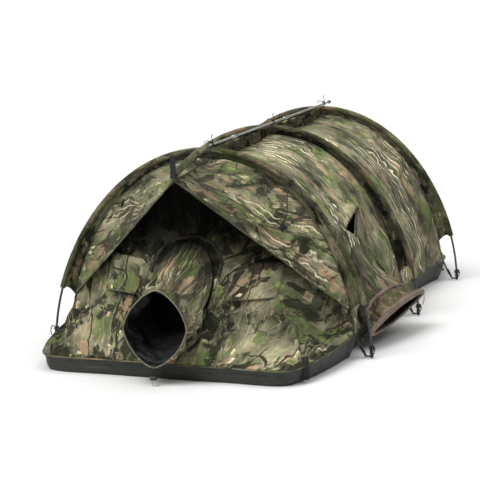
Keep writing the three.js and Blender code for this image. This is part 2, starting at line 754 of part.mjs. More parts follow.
const pairedAtHoops = {
  leg: ['pole', hoopLeg()],
  ferrule: ['ferrule', hoopFerrule()],
  foot_pin: ['black_plastic', footPin()],
  foot_strap: ['webbing', footStrap()],
};
HOOP_NAMES.forEach((hoopName, i) => {
  const hoop = new THREE.Group();
  hoop.position.y = i * HOOP_PITCH;
  blind.add(hoop);
  add(`${hoopName}_hoop_sleeve`, 'camo', hoopSleeve(0), hoop);
  add(`${hoopName}_hoop_crown`, 'pole', hoopCrown(), hoop);
  add(`${hoopName}_ridge_tie`, 'webbing', ridgeTie(), hoop);
  for (const [name, [finish, geometry]] of Object.entries(pairedAtHoops)) {
    add(`${hoopName}_${name}_right`, finish, geometry.clone(), hoop);
    add(`${hoopName}_${name}_left`, finish, mirrored(geometry), hoop);
  }
});

const [firstJoint, secondJoint] = RIDGE_JOINTS;
add('ridge_pole_front', 'pole', ridgeSection(0, firstJoint - RIDGE_GAP, 8));
add('ridge_pole_middle', 'pole', ridgeSection(firstJoint + RIDGE_GAP, secondJoint - RIDGE_GAP, 1));
add('ridge_pole_rear', 'pole', ridgeSection(secondJoint + RIDGE_GAP, 1, 1));
add('ridge_ferrule_front', 'ferrule', ridgeFerrule(firstJoint));
add('ridge_ferrule_rear', 'ferrule', ridgeFerrule(secondJoint));
add('ridge_tip_cap', 'black_plastic', tipCap());

export default blind;
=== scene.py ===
"""Low three-hoop field blind: fabric, webbing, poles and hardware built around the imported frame.

Metres, +Z up. The fabric body hangs inside three hoop poles; its front wall slopes down to a lens
snoot, a taut hood stands over it, and a coated tub makes the floor.
"""
import math

import bpy
import numpy as np
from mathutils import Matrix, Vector
from mathutils.bvhtree import BVHTree


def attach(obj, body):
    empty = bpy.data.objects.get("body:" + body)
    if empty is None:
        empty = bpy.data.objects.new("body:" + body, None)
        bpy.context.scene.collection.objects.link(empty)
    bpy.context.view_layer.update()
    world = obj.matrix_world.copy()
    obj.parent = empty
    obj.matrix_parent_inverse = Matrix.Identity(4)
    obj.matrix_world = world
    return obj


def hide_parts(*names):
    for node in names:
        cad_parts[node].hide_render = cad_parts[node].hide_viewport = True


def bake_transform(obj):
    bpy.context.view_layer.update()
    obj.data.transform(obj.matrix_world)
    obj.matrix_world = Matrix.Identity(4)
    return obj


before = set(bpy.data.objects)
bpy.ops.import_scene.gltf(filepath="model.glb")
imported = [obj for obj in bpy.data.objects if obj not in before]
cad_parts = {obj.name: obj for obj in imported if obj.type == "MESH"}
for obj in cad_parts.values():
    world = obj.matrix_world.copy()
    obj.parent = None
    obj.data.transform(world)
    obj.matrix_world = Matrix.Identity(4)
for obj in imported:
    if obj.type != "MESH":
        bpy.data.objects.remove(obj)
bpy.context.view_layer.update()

# ---- Driving dimensions, the same as the CAD's ----
HOOP_HALF, HOOP_HEIGHT, PITCH = 0.600, 0.720, 0.790
HOOP_X_POWER, HOOP_Z_POWER = 2 / 2.03, 2 / 1.78
BODY_HALF, BODY_HEIGHT = 0.541, 0.692
BODY_X_POWER, BODY_Z_POWER, HEM_Z = 0.937, 1.094, 0.081
FRONT_REACH, REAR_REACH = 0.520, 0.410
LENGTH = 2 * PITCH
PEAK = np.array([0, -0.400, 0.663])
HOOD_FOOT_S, HOOD_END = 0.905, 0.985
RIDGE_Z = 0.737
hem_angle = math.acos((HEM_Z / BODY_HEIGHT) ** (1 / BODY_Z_POWER))
HOOPS = ("front", "middle", "rear")
SIDES = (("right", 1), ("left", -1))
WHITE = (1, 1, 1)


# ---- Small maths ----
def mix(a, b, t):
    return a + (b - a) * t


def smooth(x, a, b):
    t = np.clip((x - a) / (b - a), 0, 1)
    return t * t * (3 - 2 * t)


def unit(v):
    v = np.asarray(v, float)
    return v / np.maximum(np.linalg.norm(v, axis=-1, keepdims=True), 1e-12)


def vec(*parts):
    return np.stack(np.broadcast_arrays(*[np.asarray(p, float) for p in parts]), -1)


def travelled(points):
    """How far along a polyline each of its points lies."""
    return np.concatenate([[0], np.cumsum(np.linalg.norm(np.diff(points, axis=0), axis=1))])


def read_at(at, along, rows):
    """Rows read at distances `at`, each row lying at its distance `along`."""
    return np.stack([np.interp(at, along, rows[:, k]) for k in range(3)], -1)


def circle(count):
    return np.arange(count) / count * 2 * np.pi


def ring_round(centre, first, second, angle):
    """Points round centre: the angle's cosine along first, its sine along second."""
    return centre + np.cos(angle)[:, None] * np.asarray(first) + np.sin(angle)[:, None] * np.asarray(second)


def gradient_noise(p, seed=0):
    """Smooth noise in about -1..1 at points p, of shape (n, 3)."""
    p = np.asarray(p, float)
    cell = np.floor(p).astype(np.int64)
    f = p - cell
    w = f * f * f * (f * (f * 6 - 15) + 10)
    total = np.zeros(len(p))
    mask = np.int64(0xFFFFFFFF)
    for i in range(8):
        corner = np.array([i & 1, (i >> 1) & 1, (i >> 2) & 1])
        c = cell + corner
        h = (c[:, 0] * 374761 + c[:, 1] * 668265 + c[:, 2] * 922337 + int(seed * 7) * 982451) & mask
        h = ((h ^ (h >> 13)) * 127412 + 9973) & mask
        h = ((h ^ (h >> 11)) * 60493 + 7919) & mask
        h ^= h >> 16
        g = np.stack([h & 1023, (h >> 10) & 1023, (h >> 20) & 1023], 1) / 511.5 - 1
        part = (g * (f - corner)).sum(1)
        share = np.where(corner, w, 1 - w).prod(1)
        total += part * share
    return total * 1.2


def layered_noise(p, octaves=3, seed=0):
    p = np.asarray(p, float)
    return sum(gradient_noise(p * 2 ** k, seed + k) * 0.5 ** k for k in range(octaves))


def folds(along, across, length, width, seed):
    """Soft creases that run with `along`, about `width` apart."""
    p = vec(along / length, across / width, np.zeros_like(along))
    n = gradient_noise(p + 31.7 * seed, seed) + 0.4 * gradient_noise(p * [1.7, 2.1, 1] + 5, seed + 1)
    return np.sign(n) * np.abs(n) ** 0.8


def skin_noise(along, angle, spread, seed, shift=0.0):
    """Noise over a tube's skin, of shape (rings, sides)."""
    p = vec(along[:, None], np.cos(angle) * spread, np.sin(angle) * spread + shift)
    return gradient_noise(p.reshape(-1, 3), seed).reshape(len(along), len(angle))


# ---- Curves that everything is built on ----
def hoop_point(angle, y=0.0):
    angle = np.asarray(angle, float)
    x = np.sign(angle) * HOOP_HALF * np.abs(np.sin(angle)) ** HOOP_X_POWER
    return vec(x, y, HOOP_HEIGHT * np.clip(np.cos(angle), 0, 1) ** HOOP_Z_POWER)


def hoop_angle_at(z):
    return math.acos((z / HOOP_HEIGHT) ** (1 / HOOP_Z_POWER))


def body_outline(s, inset=0.0, y=0.0):
    s = np.asarray(s, float)
    a = np.abs(s) * hem_angle
    x = np.sign(s) * (BODY_HALF - inset) * np.sin(a) ** BODY_X_POWER
    return vec(x, y, (BODY_HEIGHT - inset) * np.cos(a) ** BODY_Z_POWER)


def bay_point(s, y):
    s, y = np.broadcast_arrays(np.asarray(s, float), np.asarray(y, float))
    p = body_outline(s)
    drawn = np.sin(np.pi * (y % PITCH) / PITCH)
    side = smooth(np.abs(s), 0.08, 0.6)
    q = np.abs(s) ** 3
    p[..., 0] -= np.sign(s) * drawn * side * mix(0.0144, 0.036, q)
    p[..., 2] -= drawn * (0.024 * side * (1 - np.abs(s)) + 0.010 * q)
    p[..., 1] = y
    return p


def smooth_curve(points, per=40):
    """A centripetal curve through points, as a fine polyline."""
    pts = [np.array(p, float) for p in points]
    pts = [2 * pts[0] - pts[1]] + pts + [2 * pts[-1] - pts[-2]]
    t = np.arange(per)[:, None] / per
    out = []
    for p0, p1, p2, p3 in zip(pts, pts[1:], pts[2:], pts[3:]):
        d0, d1, d2 = (max(np.linalg.norm(b - a), 1e-8) ** 0.5 for a, b in ((p0, p1), (p1, p2), (p2, p3)))
        leave = ((p1 - p0) / d0 - (p2 - p0) / (d0 + d1) + (p2 - p1) / d1) * d1
        arrive = ((p2 - p1) / d1 - (p3 - p1) / (d1 + d2) + (p3 - p2) / d2) * d1
        out.append(p1 + leave * t + (-3 * p1 + 3 * p2 - 2 * leave - arrive) * t ** 2
                   + (2 * p1 - 2 * p2 + leave + arrive) * t ** 3)
    return np.concatenate(out + [pts[-2][None]])


def resample(points, at):
    """Points of a polyline: so many evenly spaced ones, or those at given shares of its length."""
    points = np.asarray(points, float)
    d = travelled(points)
    shares = np.linspace(0, 1, at) if np.isscalar(at) else np.asarray(at)
    return read_at(shares * d[-1], d, points)


def end_hem(reach):
    corner = reach - 0.015
    return smooth_curve([
        (0, reach, 0.055), (0.215, reach - 0.003, 0.055), (0.430, corner, 0.055),
        (0.478, corner - 0.105, 0.059), (0.513, corner * 0.45, 0.068), (0.538, 0, HEM_Z),
    ])


FRONT_HEM, REAR_HEM = end_hem(FRONT_REACH), end_hem(REAR_REACH)


def end_hem_point(curve, s, direction, y):
    s = np.asarray(s, float)
    p = resample(curve, np.abs(s).ravel()).reshape(s.shape + (3,))
    return vec(np.sign(s) * p[..., 0], y + direction * p[..., 1], p[..., 2])


def end_wall_point(curve, direction, y, s, v, lift=0.0):
    s, v = np.broadcast_arrays(np.asarray(s, float), np.asarray(v, float))
    low = end_hem_point(curve, s, direction, y + direction * 0.002)
    high = body_outline(s, 0.002, y + direction * 0.0012)
    a = np.abs(s)
    side = smooth(a, 0.05, 0.52) * (1 - 0.5 * smooth(a, 0.62, 0.88))
    free = 1 - smooth(a, 0.8, 0.97)
    sag = (0.008 + (0.102 if direction < 0 else 0.018) * side) * free * np.sin(np.pi * v) - lift
    inward = unit(vec(-np.sign(s) * smooth(a, 0.3, 1), -direction * 0.65, -0.65))
    return mix(low, high, v[..., None]) + inward * sag[..., None]


WALL_SLOPE = unit([0, FRONT_REACH, BODY_HEIGHT - 0.055])
WALL_NORMAL = np.cross([1, 0, 0], WALL_SLOPE)
WALL_FOOT = np.array([0, -FRONT_REACH, 0.055])


def on_wall(x, s):
    x, s = np.broadcast_arrays(np.asarray(x, float), np.asarray(s, float))
    return WALL_FOOT + s[..., None] * WALL_SLOPE + x[..., None] * np.array([1, 0, 0])


# ---- Shader nodes ----
def give(tree, socket, value):
    """Link a socket to another socket, or set it to a number, vector or colour."""
    if isinstance(value, bpy.types.NodeSocket):
        tree.links.new(value, socket)
    else:
        socket.default_value = value


def node(tree, kind, settings=None, **inputs):
    """A shader node; inputs are given by name, or by number as i0, i1 and so on."""
    n = tree.nodes.new("ShaderNode" + kind)
    for k, v in (settings or {}).items():
        setattr(n, k, v)
    for k, v in inputs.items():
        give(tree, n.inputs[int(k[1:])] if k[1:].isdigit() else n.inputs[k.replace("_", " ")], v)
    return n


def mathn(tree, op, a, b):
    return node(tree, "Math", {"operation": op}, i0=a, i1=b).outputs[0]


def times(tree, *values):
    out = values[0]
    for value in values[1:]:
        out = mathn(tree, "MULTIPLY", out, value)
    return out


def plus(tree, a, b):
    return mathn(tree, "ADD", a, b)


def vector_math(tree, op, a, b):
    return node(tree, "VectorMath", {"operation": op}, i0=a, i1=b).outputs[0]


def scaled(tree, vector, scale, move=(0, 0, 0), turn=0.0):
    return node(tree, "Mapping", i0=vector, Location=move, Scale=scale, Rotation=(0, 0, turn)).outputs[0]


def noise(tree, vector, scale, detail=3.0, rough=0.55, move=(0, 0, 0), **more):
    place = scaled(tree, vector, scale, move)
    return node(tree, "TexNoise", Vector=place, Scale=1.0, Detail=detail, Roughness=rough, **more).outputs[0]


def step(tree, value, low, high, out_low=0.0, out_high=1.0):
    n = node(tree, "MapRange", {"interpolation_type": "SMOOTHSTEP"},
             i0=value, i1=low, i2=high, i3=out_low, i4=out_high)
    return n.outputs[0]


def blend_color(tree, factor, a, b, mode="MIX"):
    n = node(tree, "Mix", {"data_type": "RGBA", "blend_type": mode}, i0=factor)
    for socket, v in ((n.inputs[6], a), (n.inputs[7], b)):
        give(tree, socket, (*v, 1) if isinstance(v, tuple) else v)
    return n.outputs[2]


def dimmed(tree, color, level):
    """A colour times a level."""
    even = node(tree, "CombineColor", i0=level, i1=level, i2=level).outputs[0]
    return blend_color(tree, 1.0, color, even, "MULTIPLY")


def ramp(tree, value, *stops):
    n = node(tree, "ValToRGB", i0=value)
    elements = n.color_ramp.elements
    while len(elements) < len(stops):
        elements.new(0.5)
    for e, (at, color) in zip(elements, stops):
        e.position, e.color = at, (*color, 1)
    return n.outputs[0]


def new_material(name):
    """A material's node tree and a function that sets its shader's inputs."""
    m = bpy.data.materials.new(name)
    m.use_nodes = True
    tree = m.node_tree
    tree.nodes.clear()
    out = tree.nodes.new("ShaderNodeOutputMaterial")
    shader = node(tree, "BsdfPrincipled")
    tree.links.new(shader.outputs[0], out.inputs[0])

    def finish(**inputs):
        for k, v in inputs.items():
            give(tree, shader.inputs[k.replace("_", " ")], v)
        return m
    return tree, finish


def print_uv(tree):
    return node(tree, "UVMap", {"uv_map": "print"}).outputs[0]


def fabric_bump(tree, uv, strength=0.25, pitch=0.0011):
    """A plain weave with slight slubs and creases, as a normal."""
    waves_per_metre = 0.31416 / pitch
    warp, weft = (node(tree, "TexWave", {"bands_direction": way}, Vector=uv, Scale=waves_per_metre,
                       Distortion=0.4, Detail=1.0).outputs[1] for way in "XY")
    height = plus(tree, times(tree, warp, weft), times(tree, noise(tree, uv, (90, 320, 1)), 0.8))
    fine = node(tree, "Bump", Strength=strength, Distance=0.0004, Height=height).outputs[0]
    crease = noise(tree, uv, (22, 34, 1), 5.0, 0.62, Distortion=0.6)
    return node(tree, "Bump", Strength=0.55, Distance=0.006, Height=crease, Normal=fine).outputs[0]


# ---- The woodland print ----
BARK_TONES = ((0.36, (0.022, 0.023, 0.014)), (0.43, (0.085, 0.085, 0.054)), (0.50, (0.165, 0.160, 0.104)),
              (0.57, (0.225, 0.215, 0.140)), (0.66, (0.36, 0.335, 0.225)))
GRAIN_TONES = ((0.32, (0.30, 0.30, 0.28)), (0.50, (1.0, 1.0, 0.97)), (0.66, (1.75, 1.72, 1.6)))
LEAF_TONES = ((0.0, (0.020, 0.026, 0.010)), (0.25, (0.10, 0.13, 0.045)), (0.5, (0.21, 0.25, 0.095)),
              (0.75, (0.31, 0.25, 0.155)), (1.0, (0.60, 0.56, 0.38)))
# Branches and twigs, by coarseness: scale, place, turn and width.
BRANCHES = (((2.6, 8.0, 1), (1, 4, 0), 0.35, 0.055), ((4.5, 11, 1), (9, 6, 0), -0.5, 0.040),
            ((9, 24, 1), (5, 2, 0), 0.2, 0.035))
# Layers of leaves: turn, place and how rare their clusters are.
LEAVES = ((0.6, (4, 9, 0), 0.52), (-0.75, (13, 1, 0), 0.53), (1.5, (7, 19, 0), 0.55))
FULL_TURN = 6.2832


def with_branches(g, color, uv, warped, strength):
    """Forked, tapering branches with a lit side."""
    for scale, move, turn, width in BRANCHES:
        where = step(g, noise(g, uv, (4, 6, 1), move=move), 0.46, 0.57, 0.0, width)
        for offset, share, tone in (((0.0, 0.0022, 0.0), 0.35, (0.50, 0.45, 0.31)),
                                    ((0.0, 0.0, 0.0), 0.92, (0.020, 0.017, 0.010))):
            place = scaled(g, vector_math(g, "ADD", warped, offset), scale, move, turn)
            fork = node(g, "TexVoronoi", {"feature": "DISTANCE_TO_EDGE"}, Vector=place, Scale=1.0).outputs[0]
            line = step(g, mathn(g, "SUBTRACT", fork, where), -0.012, 0.0, 1.0, 0.0)
            color = blend_color(g, times(g, line, strength, share), color, tone)
    return color


def with_leaves(g, color, uv, warped, grain, strength):
    """Turned layers of long pointed leaves, in clusters."""
    for turn, move, low in LEAVES:
        place = scaled(g, warped, (17, 36, 1), move, turn)
        cells = node(g, "TexVoronoi", {"distance": "MANHATTAN"}, Vector=place, Scale=1.0)
        ragged = plus(g, cells.outputs[0], times(g, grain, 0.30))
        cluster = step(g, noise(g, uv, (5, 6, 1), move=move), low, low + 0.04)
        leaf = times(g, step(g, ragged, 0.52, 0.58, 1.0, 0.0), cluster, strength)
        pick = node(g, "SeparateColor", Color=cells.outputs[1]).outputs[0]
        tint = dimmed(g, ramp(g, pick, *LEAF_TONES), step(g, ragged, 0.10, 0.50, 0.5, 1.25))
        color = blend_color(g, leaf, color, tint)
    return color


def with_ripples(g, color, uv, strength):
    """Long bright crests with a dark side, in clusters."""
    across = node(g, "SeparateXYZ", i0=uv).outputs[1]
    wander = noise(g, uv, (4.0, 4.5, 1), 2.0, move=(2, 5, 0))
    shiver = noise(g, uv, (20, 8, 1), 2.0)
    phase = plus(g, plus(g, times(g, across, 27.0), times(g, wander, 5.0)), times(g, shiver, 1.3))
    phase = times(g, phase, FULL_TURN)
    crest = step(g, mathn(g, "SINE", phase, 0.0), 0.72, 0.97)
    side = step(g, mathn(g, "SINE", plus(g, phase, -1.05), 0.0), 0.2, 0.95)
    where = times(g, step(g, noise(g, uv, (2.3, 4.2, 1), 2.0, 0.5, (29, 3, 0)), 0.50, 0.56), strength)
    breaks = step(g, noise(g, uv, (14, 34, 1), move=(5, 9, 0)), 0.38, 0.52)
    color = blend_color(g, times(g, side, where, 0.75), color, (0.050, 0.047, 0.028))
    return blend_color(g, times(g, crest, where, breaks, 0.95), color, (0.80, 0.74, 0.53))


def camo_group():
    """Woodland print: bark, cream ripple lines, leaves, branches and pooled shade, from a UV in metres."""
    g = bpy.data.node_groups.new("woodland_print", "ShaderNodeTree")
    g.interface.new_socket("UV", in_out="INPUT", socket_type="NodeSocketVector")
    for name in ("Ripples", "Leaves", "Shade", "Bark"):
        g.interface.new_socket(name, in_out="INPUT", socket_type="NodeSocketFloat")
    g.interface.new_socket("Color", in_out="OUTPUT", socket_type="NodeSocketColor")
    g.interface.new_socket("Grain", in_out="OUTPUT", socket_type="NodeSocketFloat")
    given = g.nodes.new("NodeGroupInput")
    out = g.nodes.new("NodeGroupOutput")
    uv, ripples, leaves, shade, bark = (given.outputs[i] for i in range(5))

    # The whole print wanders, so nothing runs straight.
    drift = node(g, "TexNoise", Vector=scaled(g, uv, (5, 7, 1)), Scale=1.0, Detail=3.0).outputs[1]
    drift = vector_math(g, "SUBTRACT", drift, (0.5, 0.5, 0.5))
    drift = node(g, "VectorMath", {"operation": "SCALE"}, i0=drift, Scale=0.07).outputs[0]
    warped = vector_math(g, "ADD", uv, drift)

    color = ramp(g, noise(g, warped, (5, 8, 1), 8.0, 0.64), *BARK_TONES)
    for scale, move, low, share, tone in (((7, 9, 1), (3, 7, 0), 0.53, 0.8, (0.120, 0.155, 0.050)),
                                          ((6, 14, 1), (11, 2, 0), 0.55, 0.85, (0.30, 0.215, 0.140))):
        patch = step(g, noise(g, warped, scale, 7.0, 0.62, move), low, low + 0.04, 0.0, share)
        color = blend_color(g, patch, color, tone)
    grain = noise(g, warped, (16, 120, 1), 5.0, 0.70)
    color = blend_color(g, bark, color, ramp(g, grain, *GRAIN_TONES), "MULTIPLY")
    color = with_branches(g, color, uv, warped, leaves)
    color = with_leaves(g, color, uv, warped, grain, leaves)
    color = with_ripples(g, color, uv, ripples)

    # Pooled shade, and broad light and dark areas.
    pool = step(g, noise(g, warped, (6, 9, 1), 7.0, 0.66, (37, 11, 0)), 0.52, 0.57)
    color = blend_color(g, times(g, pool, shade), color, (0.012, 0.014, 0.007))
    broad = step(g, noise(g, uv, (1.7, 2.6, 1), move=(8, 31, 0)), 0.38, 0.62, 0.80, 1.22)
    color = node(g, "Gamma", Color=dimmed(g, color, broad), Gamma=1.12).outputs[0]
    g.links.new(color, out.inputs[0])
    g.links.new(grain, out.inputs[1])
    return g


PRINT = camo_group()


# ---- Materials ----
def camo(name, ripples, leaves, shade, gain, bark=0.5, tint=WHITE):
    """Printed fabric, darkened by the mesh's shade attribute, with a little dust."""
    t, finish = new_material(name)
    uv = print_uv(t)
    g = node(t, "Group", {"node_tree": PRINT}, UV=uv, Ripples=ripples, Leaves=leaves, Shade=shade, Bark=bark)
    painted = node(t, "Attribute", {"attribute_name": "shade"}).outputs[2]
    color = dimmed(t, g.outputs[0], times(t, painted, gain))
    if tint != WHITE:
        color = blend_color(t, 1.0, color, tint, "MULTIPLY")
    dust = step(t, noise(t, uv, (13, 17, 1), 5.0, 0.7, (3, 3, 0)), 0.50, 0.8, 0.0, 0.06)
    color = blend_color(t, dust, color, (0.33, 0.30, 0.22))
    return finish(Base_Color=color, Roughness=step(t, g.outputs[1], 0.3, 0.7, 0.62, 0.86), Sheen_Weight=0.04,
                  Sheen_Roughness=0.6, Specular_IOR_Level=0.12, Normal=fabric_bump(t, uv))


def woven(name, color, accent, rough=0.7, pitch=0.0014, weave=0.6, wear=0.2):
    """A plain woven or coated cloth in one colour family, with wear."""
    t, finish = new_material(name)
    uv = print_uv(t)
    fine = noise(t, uv, (60, 140, 1), 4.0, 0.65)
    broad = noise(t, uv, (7, 9, 1), 4.0, 0.6)
    base = ramp(t, plus(t, times(t, fine, 0.45), times(t, broad, 0.55)), (0.34, color), (0.66, accent))
    scuff = step(t, noise(t, uv, (25, 60, 1), 6.0, 0.75, (5, 1, 0)), 0.58, 0.70, 0.0, wear)
    base = blend_color(t, scuff, base, tuple(min(1, c * 2.6 + 0.03) for c in accent))
    return finish(Base_Color=base, Roughness=step(t, fine, 0.3, 0.7, rough - 0.1, rough + 0.12),
                  Normal=fabric_bump(t, uv, weave, pitch))


def hard(name, color, accent, rough, metal, grain, bump, wear):
    """Moulded plastic or drawn metal: speckle, brushed grain and rubbed patches, in object space."""
    t, finish = new_material(name)
    place = node(t, "TexCoord").outputs[3]
    fine = noise(t, place, grain, 4.0, 0.6)
    broad = noise(t, place, (18, 18, 18), 4.0, 0.6)
    base = ramp(t, plus(t, times(t, fine, 0.5), times(t, broad, 0.5)), (0.36, color), (0.64, accent))
    rub = step(t, noise(t, place, (70, 45, 45), 6.0, 0.75), 0.60, 0.72, 0.0, 0.3)
    return finish(Base_Color=blend_color(t, rub, base, wear), Metallic=metal,
                  Roughness=step(t, broad, 0.3, 0.7, rough - 0.08, rough + 0.14),
                  Normal=node(t, "Bump", Strength=bump, Distance=0.0006, Height=fine).outputs[0])


def grey(level):
    return (level, level, level)


# Printed: ripples, leaves, shade, gain and bark. Woven: two colours, then rough, pitch, weave and wear.
CAMO_ROOF = camo("camo_roof", 1.0, 0.25, 0.55, 1.75, 0.55)
CAMO_WALL = camo("camo_wall", 0.10, 1.0, 0.85, 1.55, 0.35)
CAMO_HOOD = camo("camo_hood", 0.6, 0.85, 0.75, 1.5, 0.45)
# The print darkened all over as painted shade, for the webs under the poles and the zip tapes.
CAMO_PAINTED_SHADE = camo("camo_painted_shade", 0.25, 0.6, 0.95, 0.65)
CAMO_SNOOT = camo("camo_snoot", 0.5, 0.7, 0.5, 1.35)
CAMO_HEM = camo("camo_hem", 0.3, 0.3, 0.6, 1.0)
PINK_CAMO = camo("camo_facing", 0.2, 0.5, 0.8, 0.9, tint=(1.12, 0.95, 0.92))
PINK_HEM = woven("rolled_hem", (0.09, 0.068, 0.050), (0.34, 0.25, 0.19), 0.75, 0.0012, 0.8, 0.25)
LINING = woven("dark_lining", (0.0035, 0.004, 0.0045), (0.009, 0.010, 0.011), 0.66, weave=0.4, wear=0.06)
TUB = woven("coated_tub", (0.017, 0.020, 0.016), (0.042, 0.047, 0.037), 0.60, 0.0016, 0.5)
WEBBING = woven("black_webbing", (0.008, 0.008, 0.009), (0.022, 0.022, 0.024), 0.72, 0.0022, 1.0, 0.12)
CORD = woven("black_cord", grey(0.010), (0.030, 0.030, 0.028), 0.75, 0.0010, 1.0, 0.1)
EDGE = woven("hem_edge", (0.10, 0.095, 0.06), (0.34, 0.32, 0.22), 0.8, 0.0010, 0.7, 0.15)
STITCH = woven("thread", (0.05, 0.05, 0.032), (0.10, 0.10, 0.07), 0.7, 0.0005, 0.5, 0.1)
ZIP_TAPE = woven("zip_tape", (0.022, 0.024, 0.016), (0.055, 0.057, 0.040), 0.75, 0.0009, 0.9, 0.1)
# Hard: two colours, roughness, metal, grain per metre, bump and the rubbed colour.
POLE = hard("fibre_pole", (0.34, 0.35, 0.34), (0.52, 0.53, 0.52), 0.34, 0.15, grey(60), 0.05,
            (0.65, 0.65, 0.63))
POLE_DARK = hard("dark_fibre_pole", (0.035, 0.036, 0.036), (0.085, 0.087, 0.085), 0.36, 0.1, grey(60), 0.05,
                 (0.22, 0.22, 0.21))
METAL = hard("ferrule_metal", (0.50, 0.51, 0.52), (0.72, 0.73, 0.74), 0.28, 1.0, (90, 500, 90), 0.06,
             grey(0.30))
PLASTIC = hard("black_plastic", (0.010, 0.010, 0.011), (0.024, 0.024, 0.026), 0.42, 0.0, grey(420), 0.14,
               (0.07, 0.07, 0.075))
ZIP_METAL = hard("zip_metal", (0.020, 0.019, 0.017), (0.055, 0.052, 0.048), 0.48, 0.35, grey(300), 0.1,
                 (0.14, 0.135, 0.13))
# The material slot that each look belongs to; the rest are the printed fabric.
SLOTS = {WEBBING: "webbing", CORD: "webbing", ZIP_TAPE: "webbing", PLASTIC: "black_plastic",
         POLE: "pole", POLE_DARK: "pole", METAL: "ferrule"}


# ---- Mesh helpers ----
def build(name, verts, faces, uv, materials, index=None, shade=None):
    """A mesh object from arrays: faces is a list of index rows, uv is per vertex, in metres."""
    mesh = bpy.data.meshes.new(name)
    mesh.from_pydata(np.asarray(verts).tolist(), [], [list(map(int, f)) for f in faces])
    for m in materials:
        mesh.materials.append(m)
    if index is not None:
        mesh.polygons.foreach_set("material_index", np.asarray(index, np.int32))
    mesh.polygons.foreach_set("use_smooth", np.ones(len(mesh.polygons), bool))
    loops = np.zeros(len(mesh.loops), np.int32)
    mesh.loops.foreach_get("vertex_index", loops)
    layer = mesh.uv_layers.new(name="print")
    layer.data.foreach_set("uv", np.asarray(uv, np.float32)[loops].ravel())
    tone = mesh.attributes.new("shade", "FLOAT", "POINT")
    tone.data.foreach_set("value", np.asarray(np.ones(len(verts)) if shade is None else shade, np.float32))
    mesh.update()
    obj = bpy.data.objects.new(name, mesh)
    bpy.context.scene.collection.objects.link(obj)
    return obj


def ride(obj, body, slot, *nodes):
    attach(obj, body)
    if nodes:
        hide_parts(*nodes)


def put(name, parts, material, *nodes, body="shelter", slot=None):
    """One mesh of one look, from one or several (verts, faces, uv) parts, riding a body."""
    parts = parts if isinstance(parts, list) else [parts]
    starts = np.cumsum([0] + [len(v) for v, _, _ in parts])
    faces = [[i + start for i in row] for (_, f, _), start in zip(parts, starts) for row in f]
    obj = build(name, np.concatenate([v for v, _, _ in parts]), faces,
                np.concatenate([t for _, _, t in parts]), [material])
    ride(obj, body, slot or SLOTS.get(material, "camo_fabric"), *nodes)


def bend(obj, start, end, body, *nodes, base="shelter"):
    """Cloth kept where it lies, its transform baked in, with the CAD nodes it stands for hidden."""
    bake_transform(obj)
    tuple(start)
    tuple(end)
    if nodes:
        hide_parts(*nodes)


def grid_faces(nu, nv, close_u=False):
    cols = nu if close_u else nu - 1
    i, j = np.meshgrid(np.arange(cols), np.arange(nv - 1))
    i, j = i.ravel(), j.ravel()
    n = (i + 1) % nu
    return np.stack([j * nu + i, j * nu + n, (j + 1) * nu + n, (j + 1) * nu + i], 1)


def vertex_normals(verts, faces):
    a, b, c, d = (verts[faces[:, k]] for k in range(4))
    n = np.cross(c - a, d - b)
    out = np.zeros_like(verts)
    for k in range(4):
        np.add.at(out, faces[:, k], n)
    return unit(out)


def facing_out(verts, faces, inside):
    """Faces and vertex normals, turned away from the points inside."""
    n = vertex_normals(verts, faces)
    if ((verts - inside) * n).sum() < 0:
        return faces[:, ::-1], -n
    return faces, n


def even_grid(nu, nv):
    return np.meshgrid(np.linspace(0, 1, nu), np.linspace(0, 1, nv))


def cut_grid(point, nu, nv, holes):
    """A grid of point(u, v) with holes cut: a hole is below zero inside, and its rim is drawn onto zero."""
    u, v = (a.ravel() for a in even_grid(nu, nv))
    faces = grid_faces(nu, nv)
    du, dv = 1 / (nu - 1), 1 / (nv - 1)
    probe, furthest, passes = 0.1, 0.45, 8
    for hole in holes:
        centre = hole(point(u[faces].mean(1), v[faces].mean(1)))
        kept, gone = faces[centre > 0], faces[centre <= 0]
        rim = np.intersect1d(kept.ravel(), gone.ravel())
        for _ in range(passes):
            a, b = u[rim], v[rim]
            f = hole(point(a, b))
            gu = (hole(point(a + du * probe, b)) - f) / probe
            gv = (hole(point(a, b + dv * probe)) - f) / probe
            size = np.maximum(gu ** 2 + gv ** 2, 1e-16)
            u[rim] = a - np.clip(f * gu / size, -furthest, furthest) * du
            v[rim] = b - np.clip(f * gv / size, -furthest, furthest) * dv
        faces = kept
    used = np.unique(faces)
    renumber = np.full(len(u), -1)
    renumber[used] = np.arange(len(used))
    return u[used], v[used], renumber[faces]


def rim_edges(faces, count):
    a = faces.ravel()
    b = np.roll(faces, -1, axis=1).ravel()
    forward, back = a * count + b, b * count + a
    lone = ~np.isin(forward, back)
    return np.stack([a[lone], b[lone]], 1)


def shell(name, verts, faces, uv, look, thickness=0.0012, shade=None, normals=None, inside=LINING):
    """A cloth sheet with two faces and a rim."""
    n = len(verts)
    normals = vertex_normals(verts, faces) if normals is None else normals
    both = np.concatenate([verts, verts - normals * thickness])
    edges = rim_edges(faces, n)
    rim = np.stack([edges[:, 1], edges[:, 0], edges[:, 0] + n, edges[:, 1] + n], 1)
    everything = np.concatenate([faces, faces[:, ::-1] + n, rim])
    index = np.repeat([0, 1, 0], [len(faces), len(faces), len(rim)])
    shade = np.ones(n) if shade is None else shade
    return build(name, both, everything, np.tile(uv, (2, 1)), [look, inside], index, np.tile(shade, 2))


def capped(sides, rings):
    """Faces of a tube of rings with both ends shut, turned outwards."""
    faces = grid_faces(sides, rings, True)[:, ::-1].tolist()
    faces.append(list(range(sides)))
    faces.append(list(range((rings - 1) * sides, rings * sides))[::-1])
    return faces


